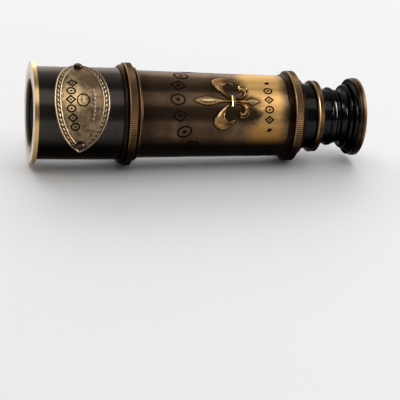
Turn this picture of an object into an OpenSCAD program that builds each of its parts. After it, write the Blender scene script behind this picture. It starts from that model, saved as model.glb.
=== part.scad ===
// Three-draw pocket spyglass in aged brass, closed.
// Frame: the optical axis is X. The origin is the centre of the front edge of the objective
// rim, the objective looks along -X and the eyepiece along +X, and +Z is up. Millimetres.

/* [Objective rim] */
// Height of the bright rim's edge above the front tube
bezel_rise = 2.27; // [1.67:0.1:4.67]
// Length of the rim along the axis
bezel_len = 2.05; // [1.6:0.05:3]
// Height of the crown on the rim's front face
bezel_crown = 0.25; // [0.1:0.05:0.5]
// How much smaller the clear aperture's radius is than the lenses'
aperture_step = 1.5; // [1:0.1:3]
// Depth of the aperture's wall
aperture_wall = 1.4; // [1:0.1:2]
// Length of the rim's skirt inside the front tube
skirt_len = 9.5; // [8:0.5:13]
// Wall of the skirt
skirt_wall = 1.3; // [1:0.1:2]

/* [Front tube] */
// Step from the main barrel up to the front tube
front_step = 1.01; // [0.51:0.05:1.81]
// Wall of the front tube
front_wall = 1.3; // [1:0.1:1.8]
// Length of the front tube that shows between the rim and the joint ring
front_len = 41.85; // [38:0.5:60]
// Distance of the stray-light baffle in front of the first draw
baffle_at = 11.55; // [5.55:1:14.55]
// Height of the baffle's wall inside the front tube
baffle_rise = 6.23; // [4.83:0.2:8.23]
// Length of the baffle's seat
baffle_len = 4; // [3:0.5:6]

/* [Main barrel] */
// Outer radius of the barrel at its objective end
barrel_r1 = 22.12; // [20.12:0.1:25.12]
// How much smaller the barrel's radius is at its eye end
barrel_taper = 1.4; // [0.8:0.05:1.8]
// Wall of the barrel
barrel_wall = 1.2; // [0.9:0.1:1.4]
// Length of the barrel that shows between the two rings
barrel_len = 75.2; // [74:0.5:100]
// Length of the barrel that seats in the joint ring
barrel_seat = 4.3; // [3.5:0.1:5]

/* [Knurled rings] */
// Height of the joint ring's knurl above the front tube
joint_rise = 2.71; // [2.31:0.05:3.91]
// Length of the joint ring
joint_len = 9.3; // [9:0.1:11]
// Height of the end ring's knurl above the barrel
end_rise = 2.55; // [2.2:0.05:3.8]
// Length of the barrel's end ring
end_len = 9.9; // [9.6:0.1:12]
// Length of each knurled band
knurl_len = 2.9; // [2.4:0.1:3.2]
// Distance from one knurl ridge to the next
knurl_pitch = 1.05; // [0.9:0.05:1.6]
// Depth of the knurl
knurl_depth = 0.3; // [0.2:0.05:0.45]
// Thickness of the web between the two tubes in the joint ring
web_t = 0.6; // [0.4:0.1:1.2]
// Thickness of the lip that closes the barrel's end ring over the sleeve
end_lip = 2.6; // [2.4:0.1:3]

/* [Draws] */
// Room between the barrel and the first draw tube
draw1_room = 3.62; // [3.42:0.05:3.92]
// Room between the first draw tube and the second
draw2_room = 1.9; // [1.7:0.05:2.2]
// Room between the second draw tube and the third
draw3_room = 1.5; // [1.3:0.05:1.8]
// Wall of the draw tubes
draw_wall = 0.8; // [0.6:0.05:0.9]
// Travel of the first draw
travel1 = 84; // [60:1:85]
// Travel of the second draw
travel2 = 98; // [70:1:100]
// Travel of the third draw
travel3 = 100; // [70:1:102]
// Length of the stop ring on each draw's inner end
stop_len = 3.9; // [3:0.1:5]
// Length of the guide sleeve in the barrel
guide1_len = 12; // [9:0.5:14]
// Length of the guide sleeve in the first draw
guide2_len = 11; // [8:0.5:12]
// Length of the guide sleeve in the second draw
guide3_len = 10; // [7:0.5:11]
// Radial running clearance of a draw in its guide
run_gap = 0.05; // [0.02:0.01:0.09]

/* [Draw collars] */
// Height of the black drum above the first draw tube
drum_rise = 1.02; // [0.82:0.02:1.5]
// Length of the drum
drum_len = 6.2; // [5.6:0.1:8]
// Length of the first draw tube that seats in the drum
tube1_seat = 3.9; // [3:0.1:4.6]
// Height of the bronze rim behind the drum above the first draw tube
rim_rise = 2.7; // [2.4:0.05:3.5]
// Length of the bronze rim
rim_len = 3.6; // [3.3:0.1:4.4]
// Height of the flat part of the second collar above its draw tube
collar2_rise = 1; // [0.8:0.05:1.4]
// Height of the second collar's bead above its draw tube
bead_rise = 2; // [1.8:0.05:2.6]
// Length of the second collar
collar2_len = 8.8; // [8.4:0.1:10]
// Length of the second draw tube that seats in its collar
tube2_seat = 5; // [4:0.1:6]
// Thickness of the lip inside each collar, over the end of its sleeve
collar_lip = 1.9; // [1.5:0.1:2.2]

/* [Eyepiece] */
// Height of the eyepiece's neck above the third draw tube
neck_rise = 2.2; // [1.8:0.05:2.7]
// Height of the eyepiece's bell above the third draw tube
bell_rise = 5.8; // [5.4:0.05:6.3]
// Distance of the bell's crest behind the front of the eyepiece
bell_at = 6.4; // [6.2:0.1:7.2]
// Distance of the neck's hollow behind the front of the eyepiece
neck_at = 3; // [2.8:0.1:3.4]
// Height of the eyepiece's bronze rim above the third draw tube
eye_rim_rise = 9.3; // [8.9:0.05:10.1]
// Length of the bronze rim
eye_rim_len = 3.1; // [2.7:0.1:4]
// Length of the black turned body in front of the rim
eye_body_len = 9.9; // [9.6:0.1:11.5]
// How much smaller the eye hole's radius is than the eye lens's
eye_hole_step = 1.7; // [1.2:0.1:2.9]
// Depth of the dish round the eye hole
eye_dish = 2.2; // [1.6:0.1:2.4]
// Length of the third draw tube that seats in the eyepiece
tube3_seat = 4.7; // [3.5:0.1:5.5]

/* [Lenses] */
// Wall of the cell round the objective lenses
cell_wall = 2.24; // [1.84:0.1:2.84]
// Edge thickness of the front objective lens
crown_edge = 2.2; // [1.8:0.1:3]
// Edge thickness of the rear objective lens
flint_edge = 4; // [3.4:0.1:4.4]
// Radius of curvature of the objective's faces
objective_face_r = 92; // [80:1:140]
// Edge thickness of the eye lens
eye_lens_edge = 1.6; // [1.2:0.1:2.2]
// How much smaller the eye lens's radius is than the third draw tube's
eye_lens_step = 3; // [2.6:0.1:3.5]
// Radius of curvature of the eyepiece lenses
eye_face_r = 24; // [20:1:40]
// Room between the third draw tube and the erecting lenses
erector_room = 2.7; // [2.1:0.1:3.3]
// Edge thickness of the field lens
field_lens_edge = 2; // [1.4:0.1:2.6]
// Length of the tube that spaces the field lens from the eyepiece
spacer_len = 15.5; // [14:0.5:20]
// Distance of the field stop behind the field lens
field_stop_at = 6; // [4:0.5:9]
// Height of the field stop's wall inside the spacer
field_stop_rise = 4.24; // [3.24:0.1:5.24]
// Distance of the erector cell behind the inner end of the third draw
erector_at = 22; // [10:1:26]
// Length of the erector cell
erector_len = 38; // [30:1:44]
// Edge thickness of the erecting lenses
erector_edge = 1.8; // [1.4:0.1:2.4]

/* [Oval plate] */
// Distance of the plate's centre behind the rim
plate_at = 21; // [19:0.5:24]
// Half width of the plate along the tube
plate_w = 13.5; // [12:0.1:14.5]
// Half length of the plate round the tube, along the curve
plate_h = 28.2; // [24:0.2:30]
// Thickness of the plate's field
plate_t = 0.6; // [0.5:0.05:0.9]
// Height of the plate's raised edges above its field
plate_edge = 0.35; // [0.2:0.05:0.5]
// Turn of the plate's middle above the side of the tube
plate_turn = 32.5; // [20:0.5:45]
// Radius of the plate's two screw heads
screw_r = 2.15; // [1.8:0.05:2.4]
// Height of the screw heads
screw_head = 2.1; // [1.2:0.1:2.15]
// Distance of each screw from the plate's middle, along the curve
screw_at = 22.8; // [20:0.2:23.4]

/* [Fleur-de-lis] */
// Distance of the ornament's band behind the joint ring
fleur_at = 45.5; // [40:0.5:56]
// Turn of the ornament above the side of the barrel
fleur_turn = 36; // [20:0.5:50]
// Height of the ornament's ridges
fleur_h = 1.15; // [0.8:0.05:1.5]

/* [Hidden] */
$fn = 96;

// Radial clearance between pieces that are screwed or soldered together
seat_gap = 0.03;
// Axial clearance between shoulders that meet when the draws are pushed in or pulled out
stop_gap = 0.1;
// Small bevel on turned edges
bevel = 0.3;
// Clearance of a stop ring in the tube that it runs in
stop_clear = 0.5;
// Clearance of a collar's lip round the draw that passes through it
lip_clear = 0.4;
// Depth of the turned core below the valleys of a knurl
core_drop = 0.08;

// Radii of the tubes and of the rings on them
front_r = barrel_r1 + front_step;
barrel_r2 = barrel_r1 - barrel_taper;
bezel_r = front_r + bezel_rise;
joint_r = front_r + joint_rise;
end_r = barrel_r2 + end_rise;
draw1_r = barrel_r2 - barrel_wall - draw1_room;
draw2_r = draw1_r - draw_wall - draw2_room;
draw3_r = draw2_r - draw_wall - draw3_room;
drum_r = draw1_r + drum_rise;
rim_r = draw1_r + rim_rise;
collar2_r = draw2_r + collar2_rise;
bead_r = draw2_r + bead_rise;
neck_r = draw3_r + neck_rise;
bell_r = draw3_r + bell_rise;
eye_rim_r = draw3_r + eye_rim_rise;

// Places along the axis, from the objective end to the eye end
joint_x = bezel_len + front_len;
barrel_x = joint_x + joint_len;
end_x = barrel_x + barrel_len;
end_back = end_x + end_len;
drum_x = end_back + stop_gap;
rim_x = drum_x + drum_len;
rim_back = rim_x + rim_len;
collar2_x = rim_back + stop_gap;
collar2_back = collar2_x + collar2_len;
eye_x = collar2_back + stop_gap;
eye_rim_x = eye_x + eye_body_len;
eye_back = eye_rim_x + eye_rim_len;

// Inside the tubes
front_bore = front_r - front_wall;
barrel_bore1 = barrel_r1 - barrel_wall;
barrel_bore2 = barrel_r2 - barrel_wall;
draw1_bore = draw1_r - draw_wall;
draw2_bore = draw2_r - draw_wall;
draw3_bore = draw3_r - draw_wall;

// The front tube fills what the web and the barrel leave of the joint ring
front_back = joint_x + joint_len - barrel_seat - web_t;

// The barrel ends inside the end ring, and the first sleeve lies in that end
barrel_back = end_back - end_lip - stop_gap;
guide1_x1 = barrel_back;
guide1_x0 = guide1_x1 - guide1_len;
stop1_x1 = guide1_x0 - travel1 - stop_gap;
tube1_x0 = stop1_x1 - stop_len;
tube1_x1 = drum_x + tube1_seat;

// The second sleeve ends under the bronze rim's lip
guide2_x1 = rim_back - collar_lip;
guide2_x0 = guide2_x1 - guide2_len;
stop2_x1 = guide2_x0 - travel2 - stop_gap;
tube2_x0 = stop2_x1 - stop_len;
tube2_x1 = collar2_x + tube2_seat;

// The third sleeve ends with the second tube
guide3_x1 = tube2_x1;
guide3_x0 = guide3_x1 - guide3_len;
stop3_x1 = guide3_x0 - travel3 - stop_gap;
tube3_x0 = stop3_x1 - stop_len;
tube3_x1 = eye_x + tube3_seat;

// Radii of the lenses, their apertures and the baffle
skirt_bore = front_bore - seat_gap - skirt_wall;
cell_r = skirt_bore - seat_gap;
objective_lens_r = cell_r - cell_wall - seat_gap;
aperture_r = objective_lens_r - aperture_step;
baffle_r = front_bore - baffle_rise;
baffle_x = tube1_x0 - baffle_at;
erector_r = draw3_bore - erector_room;
eye_lens_r = draw3_r - eye_lens_step;
eye_hole_r = eye_lens_r - eye_hole_step;

// The objective's stack, from the aperture back
cell_x = aperture_wall;
cell_seat = 1.2;
cell_seat_r = aperture_r + 0.6;
lens_seat = cell_x + cell_seat;
crown_back = lens_seat + crown_edge;
film = 0.05;
flint_back = crown_back + flint_edge;
retainer_len = 1.8;
retainer_sink = 0.2;
cell_back = flint_back + retainer_len + retainer_sink;

// The eyepiece's stack, from the eye forward
cup_t = 0.9;
cup_x = eye_back - eye_dish - cup_t;
eye_retainer_len = 1.2;
eye_lens_back = cup_x - eye_retainer_len;
eye_lens_x = eye_lens_back - eye_lens_edge;
eye_seat_r = eye_lens_r - 0.7;
spacer_x = tube3_x1 - spacer_len;
spacer_wall = 0.8;
field_lens_r = draw3_bore - seat_gap;
erector_x = tube3_x0 + erector_at;
erector_back = erector_x + erector_len;
erector_ring = 1.5;
erector_bore = erector_r - 0.8;
erector_curve = 1.6 * eye_face_r;

// The recess in the eyepiece's rim that takes the eye cup
rim_wall = 1.9;
rim_seat_r = eye_rim_r - 2.4;
rim_seat_x = eye_back - 1.2;

// Places of the ornaments, and the screws that hold the plate
plate_x = bezel_len + plate_at;
screw_shank_r = 0.8;
screw_hole_r = screw_shank_r + 0.1;
screw_end = front_wall + 0.4;
screw_seat = plate_t - 0.1;
fleur_x = barrel_x + fleur_at;

// Radius of the barrel's outside at a place along the axis
function barrel_at(x) = barrel_r1 + (barrel_r2 - barrel_r1) * (x - barrel_x) / barrel_len;

// A body turned about the optical axis, from an outline of radius and place
module turned() rotate([0, 90, 0]) rotate_extrude() children();

// A plain turned ring
module ring(inner, outer, x0, x1) turned() translate([inner, x0]) square([outer - inner, x1 - x0]);

// A band of straight knurling round the axis
module knurl(inner, tip, x0, x1, pitch, depth) {
    teeth = round(2 * PI * tip / pitch);
    translate([x0, 0, 0]) rotate([0, 90, 0]) linear_extrude(height = x1 - x0) difference() {
        polygon([for (i = [0 : 2 * teeth - 1])
            (tip - (i % 2) * depth) * [cos(180 * i / teeth), sin(180 * i / teeth)]]);
        circle(r = inner);
    }
}

// How far a lens face of a given curve falls back from one radius to a larger one
function sag(curve, r0, r1) = sqrt(curve * curve - r0 * r0) - sqrt(curve * curve - r1 * r1);

// A lens between two faces, each a sphere: a positive bulge swells, a negative one hollows
module lens(r, x0, x1, front, back) {
    front_rise = front == 0 ? 0 : sag(abs(front), 0, r);
    back_rise = back == 0 ? 0 : sag(abs(back), 0, r);
    x_low = x0 - (front > 0 ? front_rise : 0);
    x_high = x1 + (back > 0 ? back_rise : 0);
    turned() difference() {
        intersection() {
            translate([0, x_low]) square([r, x_high - x_low]);
            if (front > 0) translate([0, x_low + front]) circle(r = front, $fn = 720);
            if (back > 0) translate([0, x_high - back]) circle(r = back, $fn = 720);
        }
        if (front < 0) translate([0, x0 + front_rise + front]) circle(r = -front, $fn = 720);
        if (back < 0) translate([0, x1 - back_rise - back]) circle(r = -back, $fn = 720);
    }
}

// A sleeve that bears on its draw from end to end and on its tube at both ends
module sleeve(bore, outer, x0, x1) {
    land = 2.6;
    skin = 0.75;
    difference() {
        ring(bore, outer, x0, x1);
        ring(bore + skin, outer + 1, x0 + land, x1 - land);
    }
}

// The rim in front of the objective, with its skirt screwed into the front tube
module objective_bezel() color("goldenrod") {
    half = (bezel_r - aperture_r) / 2;
    mid = (bezel_r + aperture_r) / 2;
    swell = (half * half + bezel_crown * bezel_crown) / (2 * bezel_crown);
    turned() difference() {
        union() {
            translate([aperture_r, -bezel_crown]) square([2 * half, bezel_crown + bezel_len]);
            translate([skirt_bore, 0]) square([skirt_wall, bezel_len + skirt_len]);
        }
        difference() {
            translate([aperture_r - 1, -bezel_crown - 1]) square([2 * half + 2, bezel_crown + 1]);
            translate([mid, swell - bezel_crown]) circle(r = swell, $fn = 360);
        }
        translate([0, aperture_wall]) square([skirt_bore, bezel_len + skirt_len]);
    }
}

// The brass cell that holds the two objective lenses behind the rim
module objective_cell() color("darkgoldenrod") {
    edge = lens_seat - sag(objective_face_r, cell_seat_r, objective_lens_r);
    ring(cell_seat_r, cell_r, cell_x, edge);
    ring(objective_lens_r + seat_gap, cell_r, edge, cell_back);
}

module crown_lens() color("lightsteelblue", 0.5)
    lens(objective_lens_r, lens_seat, crown_back, objective_face_r, 0);

module flint_lens() color("lightcyan", 0.5)
    lens(objective_lens_r, crown_back + film, flint_back, 0, -2 * objective_face_r);

// The threaded ring behind the lenses, with two slots for a key
module objective_retainer() color("dimgray") {
    slot = [1.4, 1, objective_lens_r - aperture_r + 1];
    difference() {
        ring(aperture_r, objective_lens_r, flint_back, flint_back + retainer_len);
        for (a = [0, 180]) rotate([a, 0, 0])
            translate([flint_back + retainer_len, 0, (aperture_r + objective_lens_r) / 2])
                cube(slot, center = true);
    }
}

module front_tube() color("dimgray") difference() {
    ring(front_bore, front_r, bezel_len, front_back);
    screw_places(front_r) cylinder(r = screw_hole_r, h = 4 * front_wall, center = true);
}

module light_baffle() color("black") {
    wall = 1;
    outer = front_bore - seat_gap;
    ring(outer - wall, outer, baffle_x, baffle_x + baffle_len);
    ring(baffle_r, outer - wall, baffle_x, baffle_x + wall);
}

// Points round a pointed oval of two arcs, pulled in from its edge by a margin
function oval_curve() = (plate_h * plate_h + plate_w * plate_w) / (2 * plate_w);
function oval_point(i, n, margin) =
    let (big = oval_curve(), r = big - margin, side = i <= n / 2 ? 1 : -1,
         tip = acos((big - plate_w) / r), step = i <= n / 2 ? i : n - i, a = tip * (4 * step / n - 1))
    [side * (r * cos(a) - (big - plate_w)), r * sin(a)];

// A point of the plate's flat pattern, laid on the tube at a height
function on_tube(p, h) =
    let (r = front_r + h, a = plate_turn + p[1] / front_r * 180 / PI)
    [plate_x + p[0], -r * cos(a), r * sin(a)];

// Holds what lies at the plate's two screws, with its own +Z pointing out of the tube
module screw_places(r) for (side = [-1, 1])
    rotate([90 - plate_turn - side * screw_at / front_r * 180 / PI, 0, 0])
        translate([plate_x, 0, r]) children();

// The engraved oval plate: raised edge, sunk channel, inner line and field, bent to the tube,
// with a flat seat for each screw
module oval_plate() color("tan") {
    n = 96;
    under = 0.04;
    top = plate_t + plate_edge;
    line = top - 0.1;
    // Each step is a margin in from the edge and a height above the tube
    steps = [[0, under], [0, top - 0.25], [0.25, top], [0.8, top], [1.05, plate_t], [2.5, plate_t],
             [2.75, line], [3.15, line], [3.4, plate_t]];
    last = len(steps) - 1;
    points = [for (s = steps) for (i = [0 : n - 1]) on_tube(oval_point(i, n, s[0]), s[1])];
    bands = skin_faces(last, n);
    difference() {
        polyhedron(points, concat(bands, ladder(last * n, n, false), ladder(0, n, true)));
        screw_places(front_r) {
            cylinder(r = screw_hole_r, h = 9 * top, center = true, $fn = 24);
            translate([0, 0, screw_seat]) cylinder(r = screw_r + seat_gap, h = 2 * screw_head);
        }
    }
}

// Triangles between loops of n points each, where each loop follows the one before it
function skin_faces(loops, n) = [for (k = [0 : loops - 1]) for (i = [0 : n - 1]) for (half = [0, 1])
    let (j = (i + 1) % n, a = k * n, b = a + n)
    half == 0 ? [a + i, b + i, b + j] : [a + i, b + j, a + j]];

// Faces across a loop that starts at one tip and turns at the other: a triangle at each tip
// and flat strips along the tube between them
function turn_over(face, up) = up ? face : [for (k = [len(face) - 1 : -1 : 0]) face[k]];
function ladder(base, n, up) = [for (i = [0 : n / 2 - 1])
    let (l0 = base + i, l1 = base + i + 1, r0 = base + (n - i) % n, r1 = base + n - i - 1)
    turn_over(i == 0 ? [l0, l1, r1] : i == n / 2 - 1 ? [l0, l1, r0] : [l0, l1, r1, r0], up)];

// The two slotted screws with domed heads
module plate_screws() color("darkslategray") screw_places(front_r) {
    slot_w = 0.6;
    slot_depth = 0.7;
    dome = (screw_r * screw_r + screw_head * screw_head) / (2 * screw_head);
    difference() {
        intersection() {
            translate([0, 0, screw_seat + screw_head - dome]) sphere(r = dome);
            translate([0, 0, screw_seat]) cylinder(r = screw_r, h = 2 * screw_head);
        }
        translate([-screw_r, -slot_w / 2, screw_seat + screw_head - slot_depth])
            cube([2 * screw_r, slot_w, screw_head]);
    }
    translate([0, 0, -screw_end]) cylinder(r = screw_shank_r, h = screw_end + screw_seat + 0.1);
}

// The ring that joins the two tubes: a low lip, a groove, a bead, the knurl and a hollow slope
module joint_ring() color("saddlebrown") {
    lip_r = joint_r - 1.1;
    groove_r = joint_r - 1.7;
    core_r = joint_r - knurl_depth - core_drop;
    hollow_r = joint_r - 2.6;
    ledge_r = joint_r - 2.3;
    foot_r = barrel_r1 + 0.35;
    groove_x = joint_x + 1.9;
    bead_x = groove_x + 0.7;
    band = bead_x + 0.5;
    band_back = band + knurl_len;
    back = joint_x + joint_len;
    ledge_x = back - 1.5;
    turned() polygon([
        [front_r + seat_gap, joint_x], [lip_r - 0.5, joint_x], [lip_r, joint_x + 0.6],
        [lip_r, groove_x - 0.4], [groove_r, groove_x], [joint_r - bevel, bead_x - 0.25],
        [joint_r, bead_x], [joint_r, band - 0.15], [core_r, band], [core_r, band_back],
        [joint_r - 1.2, band_back + 0.5], [hollow_r, ledge_x - 0.4], [ledge_r, ledge_x],
        [ledge_r, ledge_x + 0.6], [foot_r + 0.25, back - 0.4], [foot_r, back],
        [barrel_r1 + seat_gap, back], [barrel_r1 + seat_gap, back - barrel_seat],
        [front_bore, back - barrel_seat], [front_bore, front_back], [front_r + seat_gap, front_back]]);
    knurl(joint_r - 1, joint_r, band, band_back, knurl_pitch, knurl_depth);
}

// The tapered barrel, with a true cylinder at each end where a ring seats
module main_barrel() color("peru") turned() polygon([
    [barrel_bore1, barrel_x - barrel_seat], [barrel_r1, barrel_x - barrel_seat], [barrel_r1, barrel_x],
    [barrel_r2, end_x], [barrel_r2, barrel_back], [barrel_bore2, barrel_back],
    [barrel_bore2, guide1_x0 - stop_clear], [barrel_bore1, barrel_x]]);

// The ring on the barrel's eye end: two raised lines, a bead, the knurl and a smooth lip
module barrel_end_ring() color("saddlebrown") {
    line1_r = barrel_r2 + 0.5;
    line2_r = barrel_r2 + 1.1;
    core_r = end_r - knurl_depth - core_drop;
    lip_drop = 3.6;
    lip_r = end_r - lip_drop;
    hole_r = draw1_r + 0.5;
    lip_x = end_back - end_lip;
    band_back = lip_x - 0.6;
    band = band_back - knurl_len;
    line2_x = end_x + 1.9;
    turned() polygon([
        [barrel_r2 + seat_gap, end_x], [line1_r - 0.2, end_x], [line1_r, end_x + bevel],
        [line1_r, line2_x - 0.4], [line2_r, line2_x], [line2_r, band - 1.1], [end_r - 0.35, band - 0.8],
        [end_r, band - 0.55], [end_r, band - 0.15], [core_r, band], [core_r, band_back],
        [end_r - 1, lip_x], [end_r - 2.6, lip_x + 0.9], [lip_r, lip_x + 1.4], [lip_r, end_back - bevel],
        [lip_r - bevel, end_back], [hole_r, end_back], [hole_r, lip_x], [barrel_r2 + seat_gap, lip_x]]);
    knurl(end_r - 1, end_r, band, band_back, knurl_pitch, knurl_depth);
}

module guide_sleeve_1() color("gold")
    sleeve(draw1_r + run_gap, barrel_bore2 - seat_gap, guide1_x0, guide1_x1);

module draw_tube_1() color("gold") ring(draw1_bore, draw1_r, tube1_x0, tube1_x1);

// Stop rings run free in the tube outside them and meet the sleeve at full stretch
module stop_ring_1() color("darkgoldenrod")
    ring(draw1_r + seat_gap, barrel_bore2 - stop_clear, tube1_x0, stop1_x1);

// The black drum behind the barrel, with a neck that carries the bronze rim
module draw_collar_1() color("black") {
    neck_r1 = drum_r - 0.9;
    neck_end = guide2_x1 - stop_gap;
    bore = draw1_bore + seat_gap;
    turned() polygon([
        [draw1_r + seat_gap, drum_x], [drum_r - bevel, drum_x], [drum_r, drum_x + bevel],
        [drum_r, rim_x], [neck_r1, rim_x], [neck_r1, neck_end], [bore, neck_end],
        [bore, tube1_x1], [draw1_r + seat_gap, tube1_x1]]);
}

// The bronze rim behind the drum: a round bead, a fine knurl and the lip over the sleeve
module collar_rim_1() color("saddlebrown") {
    bead = 0.8;
    wall_r = rim_r - 0.7;
    seat_r = drum_r - 0.9 + seat_gap;
    hole_r = draw2_r + lip_clear;
    turned() {
        translate([seat_r, rim_x]) square([wall_r - seat_r, rim_len]);
        translate([rim_r - bead, rim_x + bead]) circle(r = bead);
        translate([hole_r, guide2_x1]) square([wall_r - hole_r, collar_lip]);
    }
    band = rim_x + 2 * bead;
    knurl(wall_r - 0.5, rim_r - 0.2, band, rim_back - bevel, 0.8 * knurl_pitch, 0.6 * knurl_depth);
}

module guide_sleeve_2() color("gold")
    sleeve(draw2_r + run_gap, draw1_bore - seat_gap, guide2_x0, guide2_x1);

module draw_tube_2() color("gold") ring(draw2_bore, draw2_r, tube2_x0, tube2_x1);

module stop_ring_2() color("darkgoldenrod")
    ring(draw2_r + seat_gap, draw1_bore - stop_clear, tube2_x0, stop2_x1);

// The second collar: a flat land with a round bead behind it
module draw_collar_2() color("black") {
    bead = 2.1;
    bead_x = collar2_back - bead;
    tube_r = draw2_r + seat_gap;
    hole_r = draw3_r + lip_clear;
    turned() difference() {
        union() {
            translate([tube_r, collar2_x]) square([collar2_r - tube_r, bead_x - collar2_x]);
            translate([hole_r, tube2_x1]) square([collar2_r - 0.2 - hole_r, collar2_back - tube2_x1]);
            translate([bead_r - bead, bead_x]) circle(r = bead);
        }
        translate([0, collar2_x]) square([tube_r, tube2_seat]);
        translate([0, tube2_x1]) square([hole_r, collar2_len]);
    }
}

module guide_sleeve_3() color("gold")
    sleeve(draw3_r + run_gap, draw2_bore - seat_gap, guide3_x0, guide3_x1);

module draw_tube_3() color("gold") ring(draw3_bore, draw3_r, tube3_x0, tube3_x1);

module stop_ring_3() color("darkgoldenrod")
    ring(draw3_r + seat_gap, draw2_bore - stop_clear, tube3_x0, stop3_x1);

// The black turned eyepiece: neck, bell, groove and the cove that runs out to the rim
module eyepiece_body() color("black") {
    neck_x = eye_x + neck_at;
    neck_round = 2.6;
    bell_x = eye_x + bell_at;
    bell_round = 1.7;
    waist_r = bell_r - 0.9;
    cove_round = 1.7;
    flange_t = 1.6;
    bore = eye_lens_r + 0.4;
    lens_edge = eye_lens_x - sag(eye_face_r, eye_seat_r, eye_lens_r);
    turned() difference() {
        union() {
            translate([bore, eye_x]) square([neck_r + 1 - bore, bell_x - eye_x]);
            translate([bell_r - bell_round, bell_x]) circle(r = bell_round);
            translate([bore, bell_x - 1]) square([bell_r - bell_round - bore, 2.5]);
            translate([bore, bell_x]) square([waist_r - bore, cup_x - bell_x]);
            translate([bell_r - 2, eye_rim_x - flange_t]) square([eye_rim_r - bell_r + 1.5, flange_t]);
        }
        translate([neck_r + neck_round, neck_x]) circle(r = neck_round);
        translate([waist_r + cove_round + 0.9, eye_rim_x - 1.9]) circle(r = cove_round);
        translate([0, eye_x]) square([draw3_r + seat_gap, tube3_seat]);
        translate([0, eye_x]) square([eye_seat_r, 2 * eye_body_len]);
        translate([0, lens_edge]) square([eye_lens_r + seat_gap, eye_body_len]);
        translate([0, cup_x]) square([rim_seat_r, eye_body_len]);
    }
}

// The bronze rim: a thin front bead, a groove, the land that an eyeguard fits and a recess
module eyepiece_rim() color("saddlebrown") {
    bead_r1 = eye_rim_r - 0.35;
    groove_r = eye_rim_r - 0.7;
    recess_r = eye_rim_r - rim_wall;
    land = eye_rim_x + 1.3;
    turned() polygon([
        [rim_seat_r, eye_rim_x], [groove_r, eye_rim_x], [bead_r1, eye_rim_x + bevel],
        [bead_r1, land - 0.4], [groove_r, land - 0.2], [eye_rim_r, land], [eye_rim_r, eye_back - 0.2],
        [eye_rim_r - 0.2, eye_back], [recess_r + 0.2, eye_back], [recess_r, eye_back - 0.2],
        [recess_r, rim_seat_x], [rim_seat_r, rim_seat_x]]);
}

// The dished black cap that the eye rests against
module eye_cup() color("black") {
    outer = eye_rim_r - rim_wall - seat_gap;
    back = eye_back - bevel;
    floor_x = cup_x + cup_t;
    body_r = rim_seat_r - seat_gap;
    brim_x = rim_seat_x + seat_gap;
    middle_r = (eye_hole_r + outer) / 2;
    turned() difference() {
        union() {
            translate([eye_hole_r, cup_x]) square([body_r - eye_hole_r, back - cup_x]);
            translate([eye_hole_r, brim_x]) square([outer - eye_hole_r, back - brim_x]);
        }
        polygon([
            [eye_hole_r - 1, floor_x], [eye_hole_r + 0.8, floor_x], [middle_r, floor_x + 0.7],
            [outer - 1, back], [outer - 1, back + 1], [eye_hole_r - 1, back + 1]]);
    }
}

module eye_lens() color("lightcyan", 0.5)
    lens(eye_lens_r, eye_lens_x, eye_lens_back, eye_face_r, 0);

module eye_lens_retainer() color("dimgray")
    ring(eye_hole_r + 0.2, eye_lens_r, eye_lens_back, cup_x);

// The tube that spaces the field lens from the eyepiece, with the field stop inside
module eyepiece_spacer() color("dimgray")
    ring(field_lens_r - spacer_wall, field_lens_r, spacer_x, tube3_x1);

module field_stop() color("black") {
    stop_x = spacer_x + field_stop_at;
    edge_r = field_lens_r - spacer_wall - seat_gap;
    ring(edge_r - field_stop_rise, edge_r, stop_x, stop_x + 1);
}

module field_lens() color("lightcyan", 0.5)
    lens(field_lens_r, spacer_x - field_lens_edge, spacer_x, eye_face_r, 0);

module erector_cell() color("darkgoldenrod") {
    outer = draw3_bore - seat_gap;
    wide = erector_r + seat_gap;
    seat = erector_ring + erector_edge + sag(erector_curve, erector_bore, erector_r);
    turned() difference() {
        translate([erector_bore, erector_x]) square([outer - erector_bore, erector_len]);
        translate([0, erector_x]) square([wide, seat]);
        translate([0, erector_back - seat]) square([wide, seat]);
    }
}

module erector_lens_front() color("lightcyan", 0.5)
    lens(erector_r, erector_x + erector_ring, erector_x + erector_ring + erector_edge,
         0, erector_curve);

module erector_lens_rear() color("lightcyan", 0.5)
    lens(erector_r, erector_back - erector_ring - erector_edge, erector_back - erector_ring,
         erector_curve, 0);

module erector_stop() color("black") {
    stop_r = 2.2;
    mid = (erector_x + erector_back) / 2;
    ring(stop_r, erector_bore - seat_gap, mid - 0.5, mid + 0.5);
}

module erector_retainers() color("dimgray") for (x0 = [erector_x, erector_back - erector_ring])
    ring(erector_r - 1.2, erector_r, x0, x0 + erector_ring);

// The fleur-de-lis is drawn flat: u runs along the barrel from the band, v round it. Each leaf
// is a list of its two edges, [u, v, u, v] with the left one first, from the band outwards.
function straight(list) = [for (p = list) [p[0], p[1], p[0], -p[1]]];
spear = straight([[-20, 0.15], [-18.2, 0.95], [-16.3, 1.65], [-13.4, 2.3], [-10.8, 2.1], [-8.6, 1.55],
                  [-6.3, 1], [-3.5, 0.65], [-1.05, 0.6]]);
tail = straight([[1.75, 0.5], [4, 0.42], [6.8, 0.6], [8.8, 1.25], [10.5, 2], [12.2, 1.25],
                 [14.4, 0.15]]);
petal = [[-1.5, 1.2, -1.05, 2.05], [-2.9, 2, -2.2, 3], [-5, 3.7, -3.4, 4.8], [-7.5, 6, -4.1, 6.6],
         [-9.3, 8.9, -4.1, 7.9], [-9.3, 12, -3.6, 8.9], [-6.9, 14, -2.6, 9.8], [-3.6, 14.5, -1.4, 10.1],
         [-1, 12.9, -0.4, 9.9], [0.7, 10.6, 0.3, 9.5], [1.5, 9.4, 1.25, 9.2]];
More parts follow.
